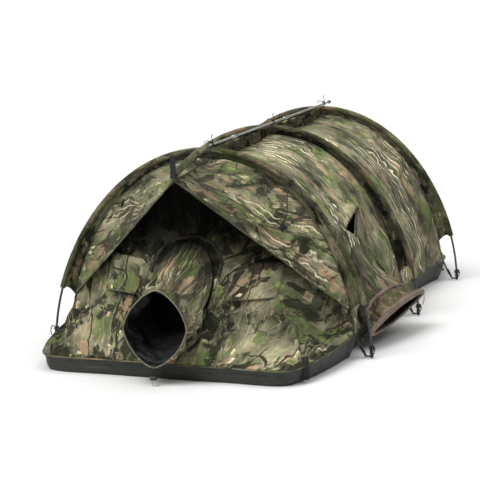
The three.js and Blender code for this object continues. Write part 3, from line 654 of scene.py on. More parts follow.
def tube_arrays(points, radius, sides=8, closed=False, squash=(1.0, 1.0), wobble=0.0, seed=0):
    """A round or flattened tube along points; closed tubes join up, open ones get ends."""
    points = np.asarray(points, float)
    n = len(points)
    tangent = unit(np.roll(points, -1, 0) - np.roll(points, 1, 0) if closed else np.gradient(points, axis=0))
    start = [0, 0, 1.0] if abs(tangent[0][2]) < 0.9 else [1.0, 0, 0]
    side = [unit(np.cross(tangent[0], start))]
    for t in tangent[1:]:
        side.append(unit(side[-1] - t * (side[-1] @ t)))
    side = np.array(side)
    if closed:
        end = side[-1] - tangent[0] * (side[-1] @ tangent[0])
        twist = math.atan2(np.cross(end, side[0]) @ tangent[0], end @ side[0])
        a = (twist * np.arange(n) / n)[:, None]
        side = side * np.cos(a) + np.cross(tangent, side) * np.sin(a)
    angle = circle(sides)
    radius = np.broadcast_to(np.asarray(radius, float), (n,))
    r = radius[:, None] * np.ones(sides)
    if wobble:
        r = r * (1 + wobble * skin_noise(np.arange(n) * 0.35, angle, 1.2, seed))
    ring = (points[:, None] + side[:, None] * (r * np.cos(angle) * squash[0])[..., None]
            + np.cross(tangent, side)[:, None] * (r * np.sin(angle) * squash[1])[..., None])
    uv = np.stack([np.repeat(travelled(points), sides), np.tile(angle, n) * np.repeat(radius, sides)], 1)
    faces = grid_faces(sides, n + 1, True)[:, ::-1] % (n * sides) if closed else capped(sides, n)
    return ring.reshape(-1, 3), [list(f) for f in faces], uv


def turned(path, profile, sides=20):
    """A part turned on a path: profile is (share along, radius)."""
    shares, radii = np.array(profile).T
    return tube_arrays(resample(path, shares), radii, sides)


def ribbon_arrays(points, across, width, thickness=0.0016, columns=4, crown=0.0):
    """A flat strip along points, `across` giving its width direction at each point."""
    points = np.asarray(points, float)
    across = unit(np.broadcast_to(np.asarray(across, float), points.shape))
    n = len(points)
    up = unit(np.cross(unit(np.gradient(points, axis=0)), across))
    t = np.linspace(-0.5, 0.5, columns)
    height = crown * (1 - 4 * t ** 2) + thickness / 2
    top = points[:, None] + across[:, None] * (t * width)[:, None] + up[:, None] * height[:, None]
    low = top - up[:, None] * thickness
    sides = 2 * columns
    row = np.concatenate([t, t[::-1]]) * width
    uv = np.stack([np.repeat(travelled(points), sides), np.tile(row, n)], 1)
    return np.concatenate([top, low[:, ::-1]], 1).reshape(-1, 3), capped(sides, n), uv


def stitch_arrays(points, normals, pitch=0.007, length=0.0046, radius=0.00055):
    """Thread stitches laid along a seam, each one a small spindle."""
    d = travelled(points)
    at = np.arange(pitch * 0.7, d[-1] - pitch * 0.5, pitch)
    centre = read_at(at, d, points)
    n = unit(read_at(at, d, normals))
    t = unit(read_at(at + 0.002, d, points) - centre)
    centre = centre + n * radius * 0.7
    angle = circle(4) + np.pi / 4
    spoke = np.cross(t, n)[:, None] * np.cos(angle)[:, None] + n[:, None] * np.sin(angle)[:, None]
    rings = [centre[:, None] + t[:, None] * along * length + spoke * share * radius
             for along, share in ((-0.5, 0.35), (-0.25, 1.0), (0.25, 1.0), (0.5, 0.35))]
    verts = np.stack(rings, 1).reshape(-1, 3)
    faces = [[i + start for i in f] for start in range(0, len(verts), 16) for f in capped(4, 4)]
    return verts, faces, verts[:, :2]


def stitched(name, rows, body="shelter", slot=None, closed=False, **sizes):
    """Stitching along one or several (points, normals) rows."""
    if closed:
        rows = [tuple(np.concatenate([q, q[:1]]) for q in row) for row in rows]
    put(name, [stitch_arrays(p, n, **sizes) for p, n in rows], STITCH, body=body, slot=slot)


def tree_of(verts, faces):
    return BVHTree.FromPolygons([Vector(v) for v in verts], [list(map(int, f)) for f in faces])


def laid_on(tree, points, direction=None, lift=0.0, reach=2.0):
    """Points moved onto a surface, along direction or the nearest way, and the surface's normals there."""
    out, normals = [], []
    for p in map(Vector, points):
        hit = None
        if direction is not None:
            d = Vector(direction).normalized()
            hit, normal, _, _ = tree.ray_cast(p - d * reach * 0.5, d, reach)
        if hit is None:
            hit, normal, _, _ = tree.find_nearest(p)
        if direction is not None and normal.dot(d) > 0:
            normal = -normal
        out.append(np.array(hit) + np.array(normal) * lift)
        normals.append(np.array(normal))
    return np.array(out), np.array(normals)


# ---- Draped cloth ----
def drape_field(grid, held, slack, gravity, cap, close_u=False):
    """Cloth simulation of a sheet cut `slack` too large and held at some points: how far each point moves."""
    frames, stiff = 16, 12.0
    nv, nu = grid.shape[:2]
    faces = grid_faces(nu, nv, close_u)
    obj = build("draping", grid.reshape(-1, 3), faces, np.zeros((nu * nv, 2)), [])
    group = obj.vertex_groups.new(name="held")
    group.add([int(i) for i in np.flatnonzero(held.ravel())], 1.0, "REPLACE")
    cloth = obj.modifiers.new("Cloth", "CLOTH")
    c = cloth.settings
    c.quality, c.mass, c.air_damping = 5, 0.15, 2.0
    c.tension_stiffness = c.compression_stiffness = stiff
    c.shear_stiffness, c.bending_stiffness = stiff * 0.4, 0.3
    c.vertex_group_mass = "held"
    c.shrink_min = -slack
    c.effector_weights.gravity = gravity
    cloth.collision_settings.use_collision = False
    scene = bpy.context.scene
    scene.frame_start, scene.frame_end = 1, frames
    cloth.point_cache.frame_start, cloth.point_cache.frame_end = 1, frames
    for f in range(1, frames + 1):
        scene.frame_set(f)
    seen = obj.evaluated_get(bpy.context.evaluated_depsgraph_get()).data
    co = np.zeros(len(seen.vertices) * 3)
    seen.vertices.foreach_get("co", co)
    mesh = obj.data
    bpy.data.objects.remove(obj)
    bpy.data.meshes.remove(mesh)
    scene.frame_set(1)
    moved = co.reshape(grid.shape) - grid
    far = np.linalg.norm(moved, axis=-1, keepdims=True)
    return moved * np.minimum(1, cap / np.maximum(far, 1e-9)) * ~held[..., None]


def sample_field(field, u, v, close_u=False):
    """A displacement grid read smoothly at u and v from 0 to 1."""
    nv, nu = field.shape[:2]

    def taps(t, n, wrap):
        x = t * (n if wrap else n - 1)
        i = np.minimum(np.floor(x).astype(int), n - 1 if wrap else n - 2)
        f = x - i
        w = np.stack([-0.5 * f ** 3 + f ** 2 - 0.5 * f, 1.5 * f ** 3 - 2.5 * f ** 2 + 1,
                      -1.5 * f ** 3 + 2 * f ** 2 + 0.5 * f, 0.5 * f ** 3 - 0.5 * f ** 2], 1)
        at = i[:, None] + np.arange(-1, 3)
        return (at % n if wrap else np.clip(at, 0, n - 1)), w
    iu, wu = taps(u, nu, close_u)
    iv, wv = taps(v, nv, False)
    return sum(field[iv[:, b], iu[:, a]] * (wu[:, a] * wv[:, b])[:, None] for a in range(4) for b in range(4))


def draped(point, fine, coarse, edges, slack, gravity, cap, holes=()):
    """A sheet of point(u, v) with holes, sagging where it is free.

    edges: the v below and above which it is held, and the share of its half width. holes: (field, margin).
    """
    u, v, faces = cut_grid(point, *fine, [field for field, _ in holes])
    gu, gv = even_grid(*coarse)
    taut = point(gu, gv)
    held = (gv < edges[0]) | (gv > edges[1]) | (np.abs(gu * 2 - 1) > edges[2])
    for field, margin in holes:
        held |= field(taut) < margin
    sag = drape_field(taut, held, slack, gravity, cap)
    p = point(u, v) + sample_field(sag, u, v)
    return u, v, p, faces, vertex_normals(p, faces)


def fan_folds(p, foot, reach, width, depth, seed, axes=(1, 2)):
    """Creases that spread from a point where the cloth is pulled."""
    d = p - foot
    dist = np.linalg.norm(d, axis=1)
    angle = np.arctan2(d[:, axes[1]], d[:, axes[0]])
    fade = np.exp(-(dist / reach) ** 2) * smooth(dist, 0.0, 0.05)
    return depth * fade * np.sin(angle * width + seed + 0.8 * gradient_noise(p * 5 + seed, seed))


# ---- Canopies ----
def side_port(p):
    """Below zero inside the side snoot's port."""
    y, z = (p[..., 1] - 0.390) / 0.176, (p[..., 2] - 0.236) / 0.094
    return np.hypot(y, z) - 1


# Corners of the unzipped gap above the side snoot, as y and z.
GAP = np.array([[0.580, 0.437], [0.360, 0.400], [0.428, 0.366]])


def gap_field(p):
    """Below zero inside the gap's triangle."""
    out = np.full(p.shape[:-1], -1e9)
    for a, b in zip(GAP, np.roll(GAP, -1, 0)):
        e = (b - a) / np.linalg.norm(b - a)
        out = np.maximum(out, (p[..., 1] - a[0]) * e[1] - (p[..., 2] - a[1]) * e[0])
    return out


def canopy(which, y0):
    def point(u, v):
        return bay_point(u * 2 - 1, y0 + 0.0006 + v * (PITCH - 0.0012))

    holes = [(side_port, 0.02), (gap_field, 0.02)] if which == "front" else []
    u, v, p, faces, n = draped(point, (236, 99), (121, 51), (0.03, 0.97, 0.985), 0.010, 0.15, 0.014, holes)
    s, y = u * 2 - 1, p[:, 1]
    arc, out = s * 0.98, np.abs(s)
    edge = smooth(v, 0.0, 0.10) * smooth(v, 1.0, 0.90) * smooth(out, 1.0, 0.95)
    if holes:
        edge = edge * smooth(side_port(p), 0.0, 0.35) * smooth(gap_field(p), 0.0, 0.03)
    lift = layered_noise(vec(arc * 4, y * 4.5, 0), 2, 3) * 0.006
    lift += folds(arc, y, 0.42, 0.085, 5 + (which == "rear")) * 0.0035 * smooth(out, 0.15, 0.6)
    lift += folds(y, arc, 0.20, 0.030, 9) * 0.0016 * (smooth(v, 0.30, 0.02) + smooth(v, 0.70, 0.98))
    for end in (y0, y0 + PITCH):
        for sign in (-1, 1):
            foot = np.array([sign * BODY_HALF, end, HEM_Z])
            lift += fan_folds(p, foot, 0.26, 9.0, 0.0075, 2.0 + sign + end) * (np.sign(p[:, 0]) == sign)
    ruffle = np.sin(y * 2 * np.pi / 0.13 + 2 * gradient_noise(vec(y * 6, s, 0), 8))
    lift = lift * edge + smooth(out, 0.94, 1.0) * 0.004 * ruffle
    p = p + n * lift[:, None]
    # Painted shade along the hoop seams, under the webs and pole sleeves.
    painted_seam_shade = 1 - 0.5 * np.exp(-np.minimum(v, 1 - v) * PITCH / 0.020)
    obj = shell(f"roof_{which}_fabric", p, faces, vec(arc + 0.13, y), CAMO_ROOF, shade=painted_seam_shade)
    ride(obj, "shelter", "camo_fabric", f"canopy_{which}")
    return tree_of(p, faces)


ROOF = {"front": canopy("front", 0.0), "rear": canopy("rear", PITCH)}


# ---- Front wall ----
SNOOT_S = 0.296
PORT_HALF = (0.110, 0.176)


def snoot_port(p):
    d = p - WALL_FOOT
    s = d @ WALL_SLOPE
    return np.hypot(p[..., 0] / PORT_HALF[0], (s - SNOOT_S + 0.006) / PORT_HALF[1]) - 1


WINDOW = dict(inner=0.172, outer=0.304, low=0.254, high=0.344)


def window_field(p):
    x = np.abs(p[..., 0])
    w = WINDOW
    return np.maximum(np.maximum(w["inner"] - x, x - w["outer"]),
                      np.maximum(w["low"] - p[..., 2], p[..., 2] - w["high"]))


def wall_folds(p, s, v):
    """Creases from the lower corners up to the snoot, upright ones under the hood and soft ones between."""
    x, z = p[:, 0], p[:, 2]
    edge = smooth(v, 0.0, 0.06) * smooth(v, 1.0, 0.93) * smooth(np.abs(s), 0.97, 0.88)
    clear = smooth(snoot_port(p), 0.0, 0.25)
    low = smooth(z, 0.42, 0.20)
    side = smooth(np.abs(x), 0.10, 0.25)
    out = folds(z * 1.2 + np.abs(x) * 0.5, x - 0.35 * z * np.sign(x), 0.30, 0.062, 11) * 0.008 * low * side
    for sign in (-1, 1):
        for foot, reach, width, depth, seed in (((0.46, -0.50, 0.055), 0.34, 10.0, 0.010, 4),
                                                ((0.12, -0.40, 0.20), 0.20, 8.0, 0.008, 7)):
            fan = fan_folds(p, np.array(foot) * [sign, 1, 1], reach, width, depth, seed + sign, (0, 2))
            out += fan * (np.sign(x) == sign)
    out += folds(z, x, 0.34, 0.050, 14) * 0.0055 * smooth(z, 0.34, 0.46)
    out += folds(x, z, 0.22, 0.045, 17) * 0.0035 * low
    out += layered_noise(vec(x * 4.5, z * 4.5, 3.3), 2, 12) * 0.008
    return out * edge * clear


def wall_uv(p):
    return vec((p - WALL_FOOT) @ WALL_SLOPE + 0.6, p[:, 0] + 0.35 * np.abs(p[:, 1]) * np.sign(p[:, 0]))


def front_wall():
    def point(u, v):
        return end_wall_point(FRONT_HEM, -1, 0.0, (u * 2 - 1) * 0.995, 0.004 + v * 0.996)

    holes = [(snoot_port, 0.03), (window_field, 0.004)]
    u, v, p, faces, n = draped(point, (257, 118), (129, 60), (0.02, 0.97, 0.98), 0.030, 0.35, 0.024, holes)
    lift = wall_folds(p, (u * 2 - 1) * 0.995, v) * smooth(window_field(p), 0.0, 0.03)
    near_port = smooth(snoot_port(p), 0.06, 0.0)
    p = p + n * (lift * (1 - 0.8 * near_port))[:, None] - WALL_NORMAL * (0.0025 * near_port)[:, None]
    # The crescent between the arched zip and the snoot is in shade, and so is the wall under the hood.
    arc = (p - WALL_FOOT) @ WALL_SLOPE
    ring = np.hypot(p[:, 0] / 0.124, (arc - 0.383) / 0.124)
    shade = 1 - 0.88 * smooth(ring, 1.0, 0.93) * smooth(arc, 0.34, 0.40)
    shade *= mix(0.04, 1.0, smooth(p[:, 2] + 0.20 * np.abs(p[:, 0]), 0.50, 0.32))
    obj = shell("front_wall_fabric", p, faces, wall_uv(p), CAMO_WALL, shade=shade)
    ride(obj, "shelter", "camo_fabric", "front_wall")
    return tree_of(p, faces)


WALL = front_wall()


# ---- Rear wall and door ----
DOOR_HALF, DOOR_LOW, DOOR_HIGH, DOOR_ROUND = 0.235, 0.105, 0.500, 0.130


def door_field(p, gap=0.0):
    """Below zero inside the rear door's outline, drawn in by a gap."""
    x, z = np.abs(p[..., 0]), p[..., 2]
    high = np.maximum(z - DOOR_HIGH + DOOR_ROUND, 0) / (DOOR_ROUND - gap)
    return np.maximum((np.hypot(x / (DOOR_HALF - gap), high) - 1) * DOOR_ROUND, DOOR_LOW + gap - z)


def rear_panel(name, field):
    def point(u, v):
        return end_wall_point(REAR_HEM, 1, LENGTH, (1 - u * 2) * 0.995, 0.004 + v * 0.996)

    u, v, faces = cut_grid(point, 209, 90, [field])
    p = point(u, v)
    n = vertex_normals(p, faces)
    x, z = p[:, 0], p[:, 2]
    edge = smooth(v, 0.0, 0.06) * smooth(v, 1.0, 0.93) * smooth(np.abs(u - 0.5), 0.5, 0.45)
    lift = folds(z, x, 0.30, 0.075, 21) * 0.005 + layered_noise(vec(x * 4, z * 4, 1), 2, 22) * 0.007
    lift += folds(x, z, 0.25, 0.06, 24) * 0.003
    p = p + n * (lift * edge)[:, None]
    return p, faces, shell(name, p, faces, vec(z + 0.4, x + 2.0), CAMO_WALL)


rear_p, rear_f, rear_obj = rear_panel("rear_wall_fabric", door_field)
ride(rear_obj, "shelter", "camo_fabric", "rear_wall")
door_p, door_f, door_obj = rear_panel("rear_door_fabric", lambda p: -door_field(p, 0.003))
bend(door_obj, (0, 1.955, 0.1075), (0, 1.94, 0.150), "rear_door", "rear_door")
REAR = tree_of(np.concatenate([rear_p, door_p]), np.concatenate([rear_f, door_f + len(rear_p)]))


# ---- Hood ----
def hood_point(u, v):
    s = (u * 2 - 1) * HOOD_END
    seam = body_outline(HOOD_FOOT_S * s, 0.0, -0.002)
    foot = body_outline(np.sign(s) * HOOD_FOOT_S, 0.0, -0.002)
    edge = mix(PEAK, foot, np.abs(s)[..., None])
    return mix(edge, seam, v[..., None])


def hood():
    u, v, p, faces, n = draped(hood_point, (201, 60), (101, 30), (0.01, 0.99, 0.985), 0.012, 0.15, 0.012)
    s = (u * 2 - 1) * HOOD_END
    along = np.abs(s) * 0.95
    depth = np.linalg.norm(p - hood_point(u, np.zeros_like(v)), axis=1)
    edge = smooth(v, 0.0, 0.12) * smooth(v, 1.0, 0.92)
    lift = folds(along, depth, 0.40, 0.055, 31) * 0.0032 * edge
    lift += fan_folds(p, PEAK, 0.22, 14.0, 0.004, 3.0, (0, 1)) * edge
    lift -= 0.010 * np.sin(np.pi * v) * np.sin(np.pi * np.abs(u * 2 - 1)) ** 0.7
    p = p + n * lift[:, None]
    uv = vec(along * np.sign(s) + 3.1, depth + 0.4 * (s > 0))
    shade = (1 - 0.45 * smooth(v, 0.93, 1.0)) * mix(0.72, 1.0, smooth(p[:, 0], -0.16, -0.02))
    ride(shell("hood_fabric", p, faces, uv, CAMO_HOOD, 0.0014, shade), "shelter", "camo_fabric", "hood")
    return tree_of(p, faces)


HOOD = hood()


# ---- Hoop fins: the pole sleeve and the web the body hangs from ----
def pole_sleeve(name, centre, first, second, r, squash, uv, thickness, node_name):
    """A puckered cloth tube round a pole, its radii given ring by ring."""
    angle = circle(r.shape[1])
    verts = (centre[:, None] + first * (np.cos(angle) * r * squash[0])[..., None]
             + second * (np.sin(angle) * r * squash[1])[..., None])
    normals = unit((verts - centre[:, None]).reshape(-1, 3))
    faces = grid_faces(len(angle), len(centre), True)
    obj = shell(name, verts.reshape(-1, 3), faces, uv, CAMO_HEM, thickness, normals=normals)
    ride(obj, "shelter", "camo_fabric", node_name)


def hoop_sleeve(hoop, k, centre):
    sides = 20
    tangent = unit(np.gradient(centre, axis=0))
    out = unit(vec(-tangent[:, 2], 0, tangent[:, 0]))
    out = out * np.sign((out * centre).sum(1))[:, None]
    arc, angle = travelled(centre), circle(sides)
    r = 0.0104 * (1 + 0.06 * skin_noise(arc * 38, angle, 1.0, 40 + k, k * 5))
    uv = vec(np.repeat(arc, sides), np.tile(angle * 0.0104, len(arc)) + 0.5 * k)
    pole_sleeve(f"{hoop}_pole_sleeve_fabric", centre, out[:, None], np.array([0, 1.0, 0]), r, (1.02, 0.80),
                uv, 0.0011, f"{hoop}_hoop_sleeve")


def hoop_web(hoop, k, high):
    """From the body's seam out to the sleeve, with a hollowed lower end and a slight ruffle."""
    nu, nv = len(high), 9
    t = np.linspace(-1, 1, nu)
    v = np.linspace(0, 1, nv)
    low = body_outline(t * HOOD_FOOT_S, 0.0, k * PITCH)
    swell = np.sin(np.pi * v)[:, None]
    p = mix(low[None], high[None], v[:, None, None])
    p[..., 2] += smooth(np.abs(t), 0.93, 1.0) * 0.012 * swell
    arc = travelled(low)
    ruffle = np.sin(arc / 0.055 * 2 * np.pi + 2.2 * gradient_noise(vec(arc * 7, k * 3.0, 0), 51 + k)) * 0.0028
    p[..., 1] += ruffle * swell + 0.0006
    uv = vec(np.tile(arc, nv) + 0.2 * k, np.repeat(v, nu) * 0.05 + 1.5 + 0.3 * k)
    faces = grid_faces(nu, nv)[:, ::-1]
    # Both faces of the web carry the print darkened as painted shade.
    obj = shell(f"{hoop}_hoop_web_fabric", p.reshape(-1, 3), faces, uv, CAMO_PAINTED_SHADE, 0.0011, inside=CAMO_PAINTED_SHADE)
    ride(obj, "shelter", "camo_fabric")


for k, hoop in enumerate(HOOPS):
    fin_end = hoop_angle_at(0.190)
    line = hoop_point(np.linspace(-1, 1, 241) * fin_end, k * PITCH)
    hoop_sleeve(hoop, k, line)
    hoop_web(hoop, k, line)


# ---- Ridge: web, sleeve, pole ----
RIDGE = smooth_curve([
    (0, PEAK[1] + 0.004, PEAK[2] + 0.015), (0, -0.200, RIDGE_Z - 0.019), (0, -0.030, RIDGE_Z - 0.001),
    (0, 0.060, RIDGE_Z), (0, 0.240, RIDGE_Z), (0, 1.700, RIDGE_Z),
])


def ridge_web():
    """Lashed up to the pole at each hoop, hanging in scallops between, and reaching down to the roof."""
    nu, nv = 321, 9
    y = np.linspace(0.014, LENGTH - 0.014, nu)
    v = np.linspace(0, 1, nv)
    near = np.min(np.abs(y[:, None] - np.array([0, PITCH, LENGTH])), axis=1)
    scallop = 0.5 - 0.5 * np.cos(y / 0.1316 * 2 * np.pi)
    top = RIDGE_Z - 0.011 - 0.006 * scallop * smooth(near, 0.02, 0.06)
    top = np.where(near < 0.0145, 0.706, top)
    low = np.full(nu, 0.6945)
    for k, at in enumerate(y):
        tree = ROOF["front" if at < PITCH else "rear"]
        hits = [tree.ray_cast(Vector((x, at, 1.0)), Vector((0, 0, -1)), 0.6)[0] for x in (-0.003, 0.003)]
        low[k] = min([h[2] for h in hits if h] + [low[k]]) + 0.0008
    z = mix(low[None], top[None], v[:, None])
    swell = np.sin(np.pi * v ** 0.8)[:, None]
    x = np.sin(y / 0.047 * 2 * np.pi + 1.7 * gradient_noise(vec(y * 9, 0, 0), 61)) * 0.0045 * swell
    uv = vec(np.tile(y, nv), np.repeat(v, nu) * 0.05 + 4)
    verts = vec(x, y, z).reshape(-1, 3)
    obj = shell("ridge_web_fabric", verts, grid_faces(nu, nv), uv, CAMO_PAINTED_SHADE, 0.0011, inside=CAMO_PAINTED_SHADE)
    ride(obj, "shelter", "camo_fabric", "ridge_web")


def ridge_sleeve():
    pts = resample(RIDGE, 900)[2:160]
    n, sides = len(pts), 22
    side = np.array([1.0, 0, 0])
    up = np.cross(side, unit(np.gradient(pts, axis=0)))
    angle = circle(sides)
    d = np.linspace(0, 1, n)
    bulge = 1 + 0.35 * np.sin(d * np.pi) + 0.10 * np.sin(d * 23)
    r = 0.0105 * (bulge[:, None] + 0.16 * skin_noise(d * 16, angle, 0.9, 71))
    uv = vec(np.repeat(np.linspace(0, 0.38, n), sides), np.tile(angle * 0.013, n))
    pole_sleeve("ridge_sleeve_fabric", pts, side, up[:, None], r, (1.0, 0.95), uv, 0.0012, "ridge_sleeve")


ridge_web()
ridge_sleeve()


# ---- Poles ----
POLE_R = 0.00425
FERRULE = ((0, 0.0046), (0.02, 0.0062), (0.06, 0.0067), (0.12, 0.0067), (0.14, 0.0061), (0.18, 0.0061),
           (0.20, 0.0067), (0.80, 0.0067), (0.82, 0.0061), (0.86, 0.0061), (0.88, 0.0067), (0.94, 0.0067),
           (0.98, 0.0062), (1.0, 0.0046))
END_CAP = ((0, 0.0048), (0.02, 0.0066), (0.1, 0.0070), (0.25, 0.0070), (0.28, 0.0064), (0.36, 0.0064),
           (0.39, 0.0070), (0.85, 0.0068), (0.95, 0.0058), (1.0, 0.0030))


def part_of_ridge(a, b, count):
    return resample(resample(RIDGE, 1200)[int(a * 1199):int(b * 1199) + 1], count)


for name, a, b in (("front", 0.0, 0.3346), ("middle", 0.3354, 0.6676), ("rear", 0.6684, 1.0)):
    put(f"ridge_rod_{name}", tube_arrays(part_of_ridge(a, b, 60), POLE_R, 16), POLE, f"ridge_pole_{name}")
for name, at in (("front", 0.335), ("rear", 0.668)):
    joint = part_of_ridge(at - 0.015, at + 0.015, 30)
    put(f"ridge_joint_{name}", turned(joint, FERRULE), METAL, f"ridge_ferrule_{name}")
put("ridge_end_cap", turned([[0, 1.682, RIDGE_Z], [0, 1.706, RIDGE_Z]], END_CAP), PLASTIC, "ridge_tip_cap")

JOINT, JOINT_HALF, JOINT_GAP = 0.52, 0.045, 0.001
for k, hoop in enumerate(HOOPS):
    y = k * PITCH
    crown = hoop_point(np.linspace(JOINT_GAP - JOINT, JOINT - JOINT_GAP, 80), y)
    put(f"{hoop}_rod_crown", tube_arrays(crown, POLE_R, 16), POLE, f"{hoop}_hoop_crown")
    for side, sign in SIDES:
        leg = hoop_point(sign * np.linspace(JOINT + JOINT_GAP, hoop_angle_at(0.014), 90), y)
        put(f"{hoop}_rod_leg_{side}", tube_arrays(leg, POLE_R, 16), POLE_DARK, f"{hoop}_leg_{side}")
        joint = hoop_point(sign * np.linspace(JOINT - JOINT_HALF, JOINT + JOINT_HALF, 30), y)
        put(f"{hoop}_rod_joint_{side}", turned(joint, FERRULE), METAL, f"{hoop}_ferrule_{side}")


# ---- Tub floor ----
def hem_ring():
    """Where fabric and tub meet: front, right side, rear and the same back along the left."""
    right = np.concatenate([
        end_hem_point(FRONT_HEM, np.linspace(0, 0.995, 150), -1, 0.0),
        bay_point(np.ones(230), np.linspace(0.004, LENGTH - 0.004, 230)),
        end_hem_point(REAR_HEM, np.linspace(0.995, 0.0, 130), 1, LENGTH),
    ])
    return np.concatenate([right, right[1:-1][::-1] * [-1, 1, 1]])


HEM = hem_ring()
MIDDLE = (LENGTH + REAR_REACH - FRONT_REACH) / 2
HEM_OUT = unit(HEM * [1, 1, 0] - [0, MIDDLE, 0])


def tub():
    n = len(HEM)
    half = (LENGTH + REAR_REACH + FRONT_REACH) / 2
    foot = vec(HEM[:, 0] * 0.522 / BODY_HALF, MIDDLE + (HEM[:, 1] - MIDDLE) * (half - 0.012) / half, 0)
    top = HEM - HEM_OUT * 0.0022 + [0, 0, 0.003]
    d = travelled(HEM)
    rows, uv = [], []
    for q in np.linspace(0, 1, 19):
        p = mix(top, foot, q)
        free = math.sin(math.pi * q)
        push = folds(np.full(n, q * 0.05), d, 0.10, 0.055, 81) * 0.005 * math.sin(math.pi * min(q * 1.1, 1))
        push += 0.003 * free + gradient_noise(vec(d * 5, q * 1.5, 0), 82) * 0.006 * free
        push += gradient_noise(vec(d * 9, q * 5 + d * 2, 0), 84) * 0.006 * free
        push += layered_noise(vec(d * 30, q * 6, 0), 2, 85) * 0.0035 * free
        p = p + HEM_OUT * push[:, None]
        p[:, 2] = np.maximum(p[:, 2], 0.0006 * (q == 1.0))
        rows.append(p)
        uv.append(vec(d, q * 0.07))
    for q in (0.93, 0.8, 0.6, 0.35, 0.12, 0.01):
        p = mix(np.array([0, MIDDLE, 0.0]), foot, q)
        uneven = gradient_noise(vec(p[:, 0] * 6, p[:, 1] * 6, 0), 83) * (q > 0.05)
        p[:, 2] = np.clip(0.0012 + 0.0012 * uneven, 0.0008, 0.003)
        rows.append(p)
        uv.append(vec(p[:, 0] + 3, p[:, 1]))
    verts = np.concatenate(rows)
    faces, normals = facing_out(verts, grid_faces(n, len(rows), True), [0, MIDDLE, 0])
    obj = shell("tub_fabric", verts, faces, np.concatenate(uv), TUB, 0.0008, normals=normals, inside=TUB)
    ride(obj, "shelter", "coated_floor", "floor_tub")


tub()
bound = HEM + HEM_OUT * 0.0015 - [0, 0, 0.001]
put("hem_binding", tube_arrays(bound, 0.0026, closed=True, squash=(0.6, 1.0), wobble=0.2, seed=5), CAMO_HEM)


# ---- Front snoot ----
MOUTH = np.array([0, -0.600, 0.190])
MOUTH_UP = unit([0, 0.12, 1])
SNOOT_BASE = on_wall(0.0, SNOOT_S)


def pointed(a, p):
    """The two coordinates of a rounded diamond at even steps of angle; p 1 is a circle."""
    c, s = np.cos(a), np.sin(a)
    r = (np.abs(c) ** (2 / p) + np.abs(s) ** (2 / p)) ** (-p / 2)
    return c * r, s * r


def snoot_ring(k, a, inset=0.0):
    k, a = np.broadcast_arrays(np.asarray(k, float), np.asarray(a, float))
    centre = mix(SNOOT_BASE, MOUTH, k[..., None])
    up = unit(mix(WALL_SLOPE, MOUTH_UP, k[..., None]))
    w = mix(0.110, 0.111, k) - inset
    h = mix(0.176, 0.129, np.sqrt(k)) - inset
    across, high = pointed(a, mix(1.0, 1.3, k))
    return centre + (w * across)[..., None] * np.array([1, 0, 0]) + up * (h * high)[..., None]


def ring_grid(k0, k1, rows, cols):
    """Shares along a snoot and angles round it, with faces."""
    k, a = np.meshgrid(np.linspace(k0, k1, rows), circle(cols), indexing="ij")
    return k.ravel(), a.ravel(), grid_faces(cols, rows, True)


def ring_sag(ring, rows, cols, held, slack, gravity, cap):
    k, a = np.meshgrid(np.linspace(0, 1, rows), circle(cols), indexing="ij")
    return drape_field(ring(k, a), (k < held[0]) | (k > held[1]), slack, gravity, cap, True)


SNOOT_SAG = ring_sag(snoot_ring, 36, 84, (0.02, 0.96), 0.075, 0.7, 0.026)


def snoot_part(name, k0, k1, rows, start, end, bodies, node_name):
    """One length of the snoot: slanting folds on top, deep sag below, tighter at the wall and the mouth."""
    k, a, faces = ring_grid(k0, k1, rows, 168)
    p = snoot_ring(k, a) + sample_field(SNOOT_SAG, a / (2 * np.pi), k, True) * smooth(k, 0.1, 0.5)[:, None]
    faces, n = facing_out(p, faces, mix(SNOOT_BASE, MOUTH, k[:, None]))
    along, across, high = k * 0.29, np.cos(a), np.sin(a)
    slack = smooth(k, 0.15, 0.6) * smooth(k, 1.0, 0.86)
    top = smooth(high, -0.35, 0.5)
    drift = gradient_noise(vec(along * 8, across * 1.5, high * 1.5), 91)
    wave = np.sin((along * 20 + across * 2.6 + 1.2 * drift) * 2.1)
    lift = top * wave * 0.0105 + (1 - top) * 0.004 * np.sin(along * 70 + a * 3)
    lift += layered_noise(vec(along * 15, across * 2.2, high * 2.2), 3, 92) * 0.012
    lift -= 0.004 * smooth(high, 0.2, 1.0) * np.sin(np.pi * k)
    p = p + n * (slack * lift)[:, None]
    uv = vec(along + 0.03 * np.sin(a * 2), a * 0.14 + 6.1)
    # Painted shade over the top of the snoot near the wall, under the hood.
    tone = mix(1.0, mix(0.22, 1.0, smooth(k, 0.06, 0.50)), smooth(high, 0.0, 0.6))
    obj = shell(name, p, faces, uv, CAMO_SNOOT, 0.0013, tone)
    bend(obj, start, end, bodies[1], node_name, base=bodies[0])


COLLAR_K = 0.26
COLLAR = mix(SNOOT_BASE, MOUTH, COLLAR_K)
SNOOT_AXIS = unit([0, -0.852, 0.523])
snoot_part("snoot_boot_fabric", 0.0, COLLAR_K, 16, SNOOT_BASE, SNOOT_BASE + WALL_NORMAL * 0.034,
           ("shelter", "snoot_collar"), "snoot_collar")
snoot_part("snoot_tube_fabric", COLLAR_K, 1.0, 44, COLLAR, COLLAR + SNOOT_AXIS * 0.06,
           ("snoot_collar", "snoot_sleeve"), "snoot_sleeve")


def snoot_mouth():
    """Hem and stitching round the mouth."""
    a = circle(220)
    rim = snoot_ring(1.0, a) + [0, -0.0015, 0]
    wobble = gradient_noise(vec(np.cos(a) * 3, np.sin(a) * 3, 0), 95) * 0.002
    rim = rim + unit(rim - MOUTH) * wobble[:, None]
    hem = tube_arrays(rim, 0.0021, 10, closed=True, wobble=0.2, seed=3)
    put("snoot_mouth_hem", hem, EDGE, body="snoot_sleeve")
    row = snoot_ring(0.955, a, -0.0016)
    n = unit(row - mix(SNOOT_BASE, MOUTH, 0.955))
    stitched("snoot_mouth_stitching", [(row, n)], "snoot_sleeve", closed=True, pitch=0.006, length=0.004,
             radius=0.0005)


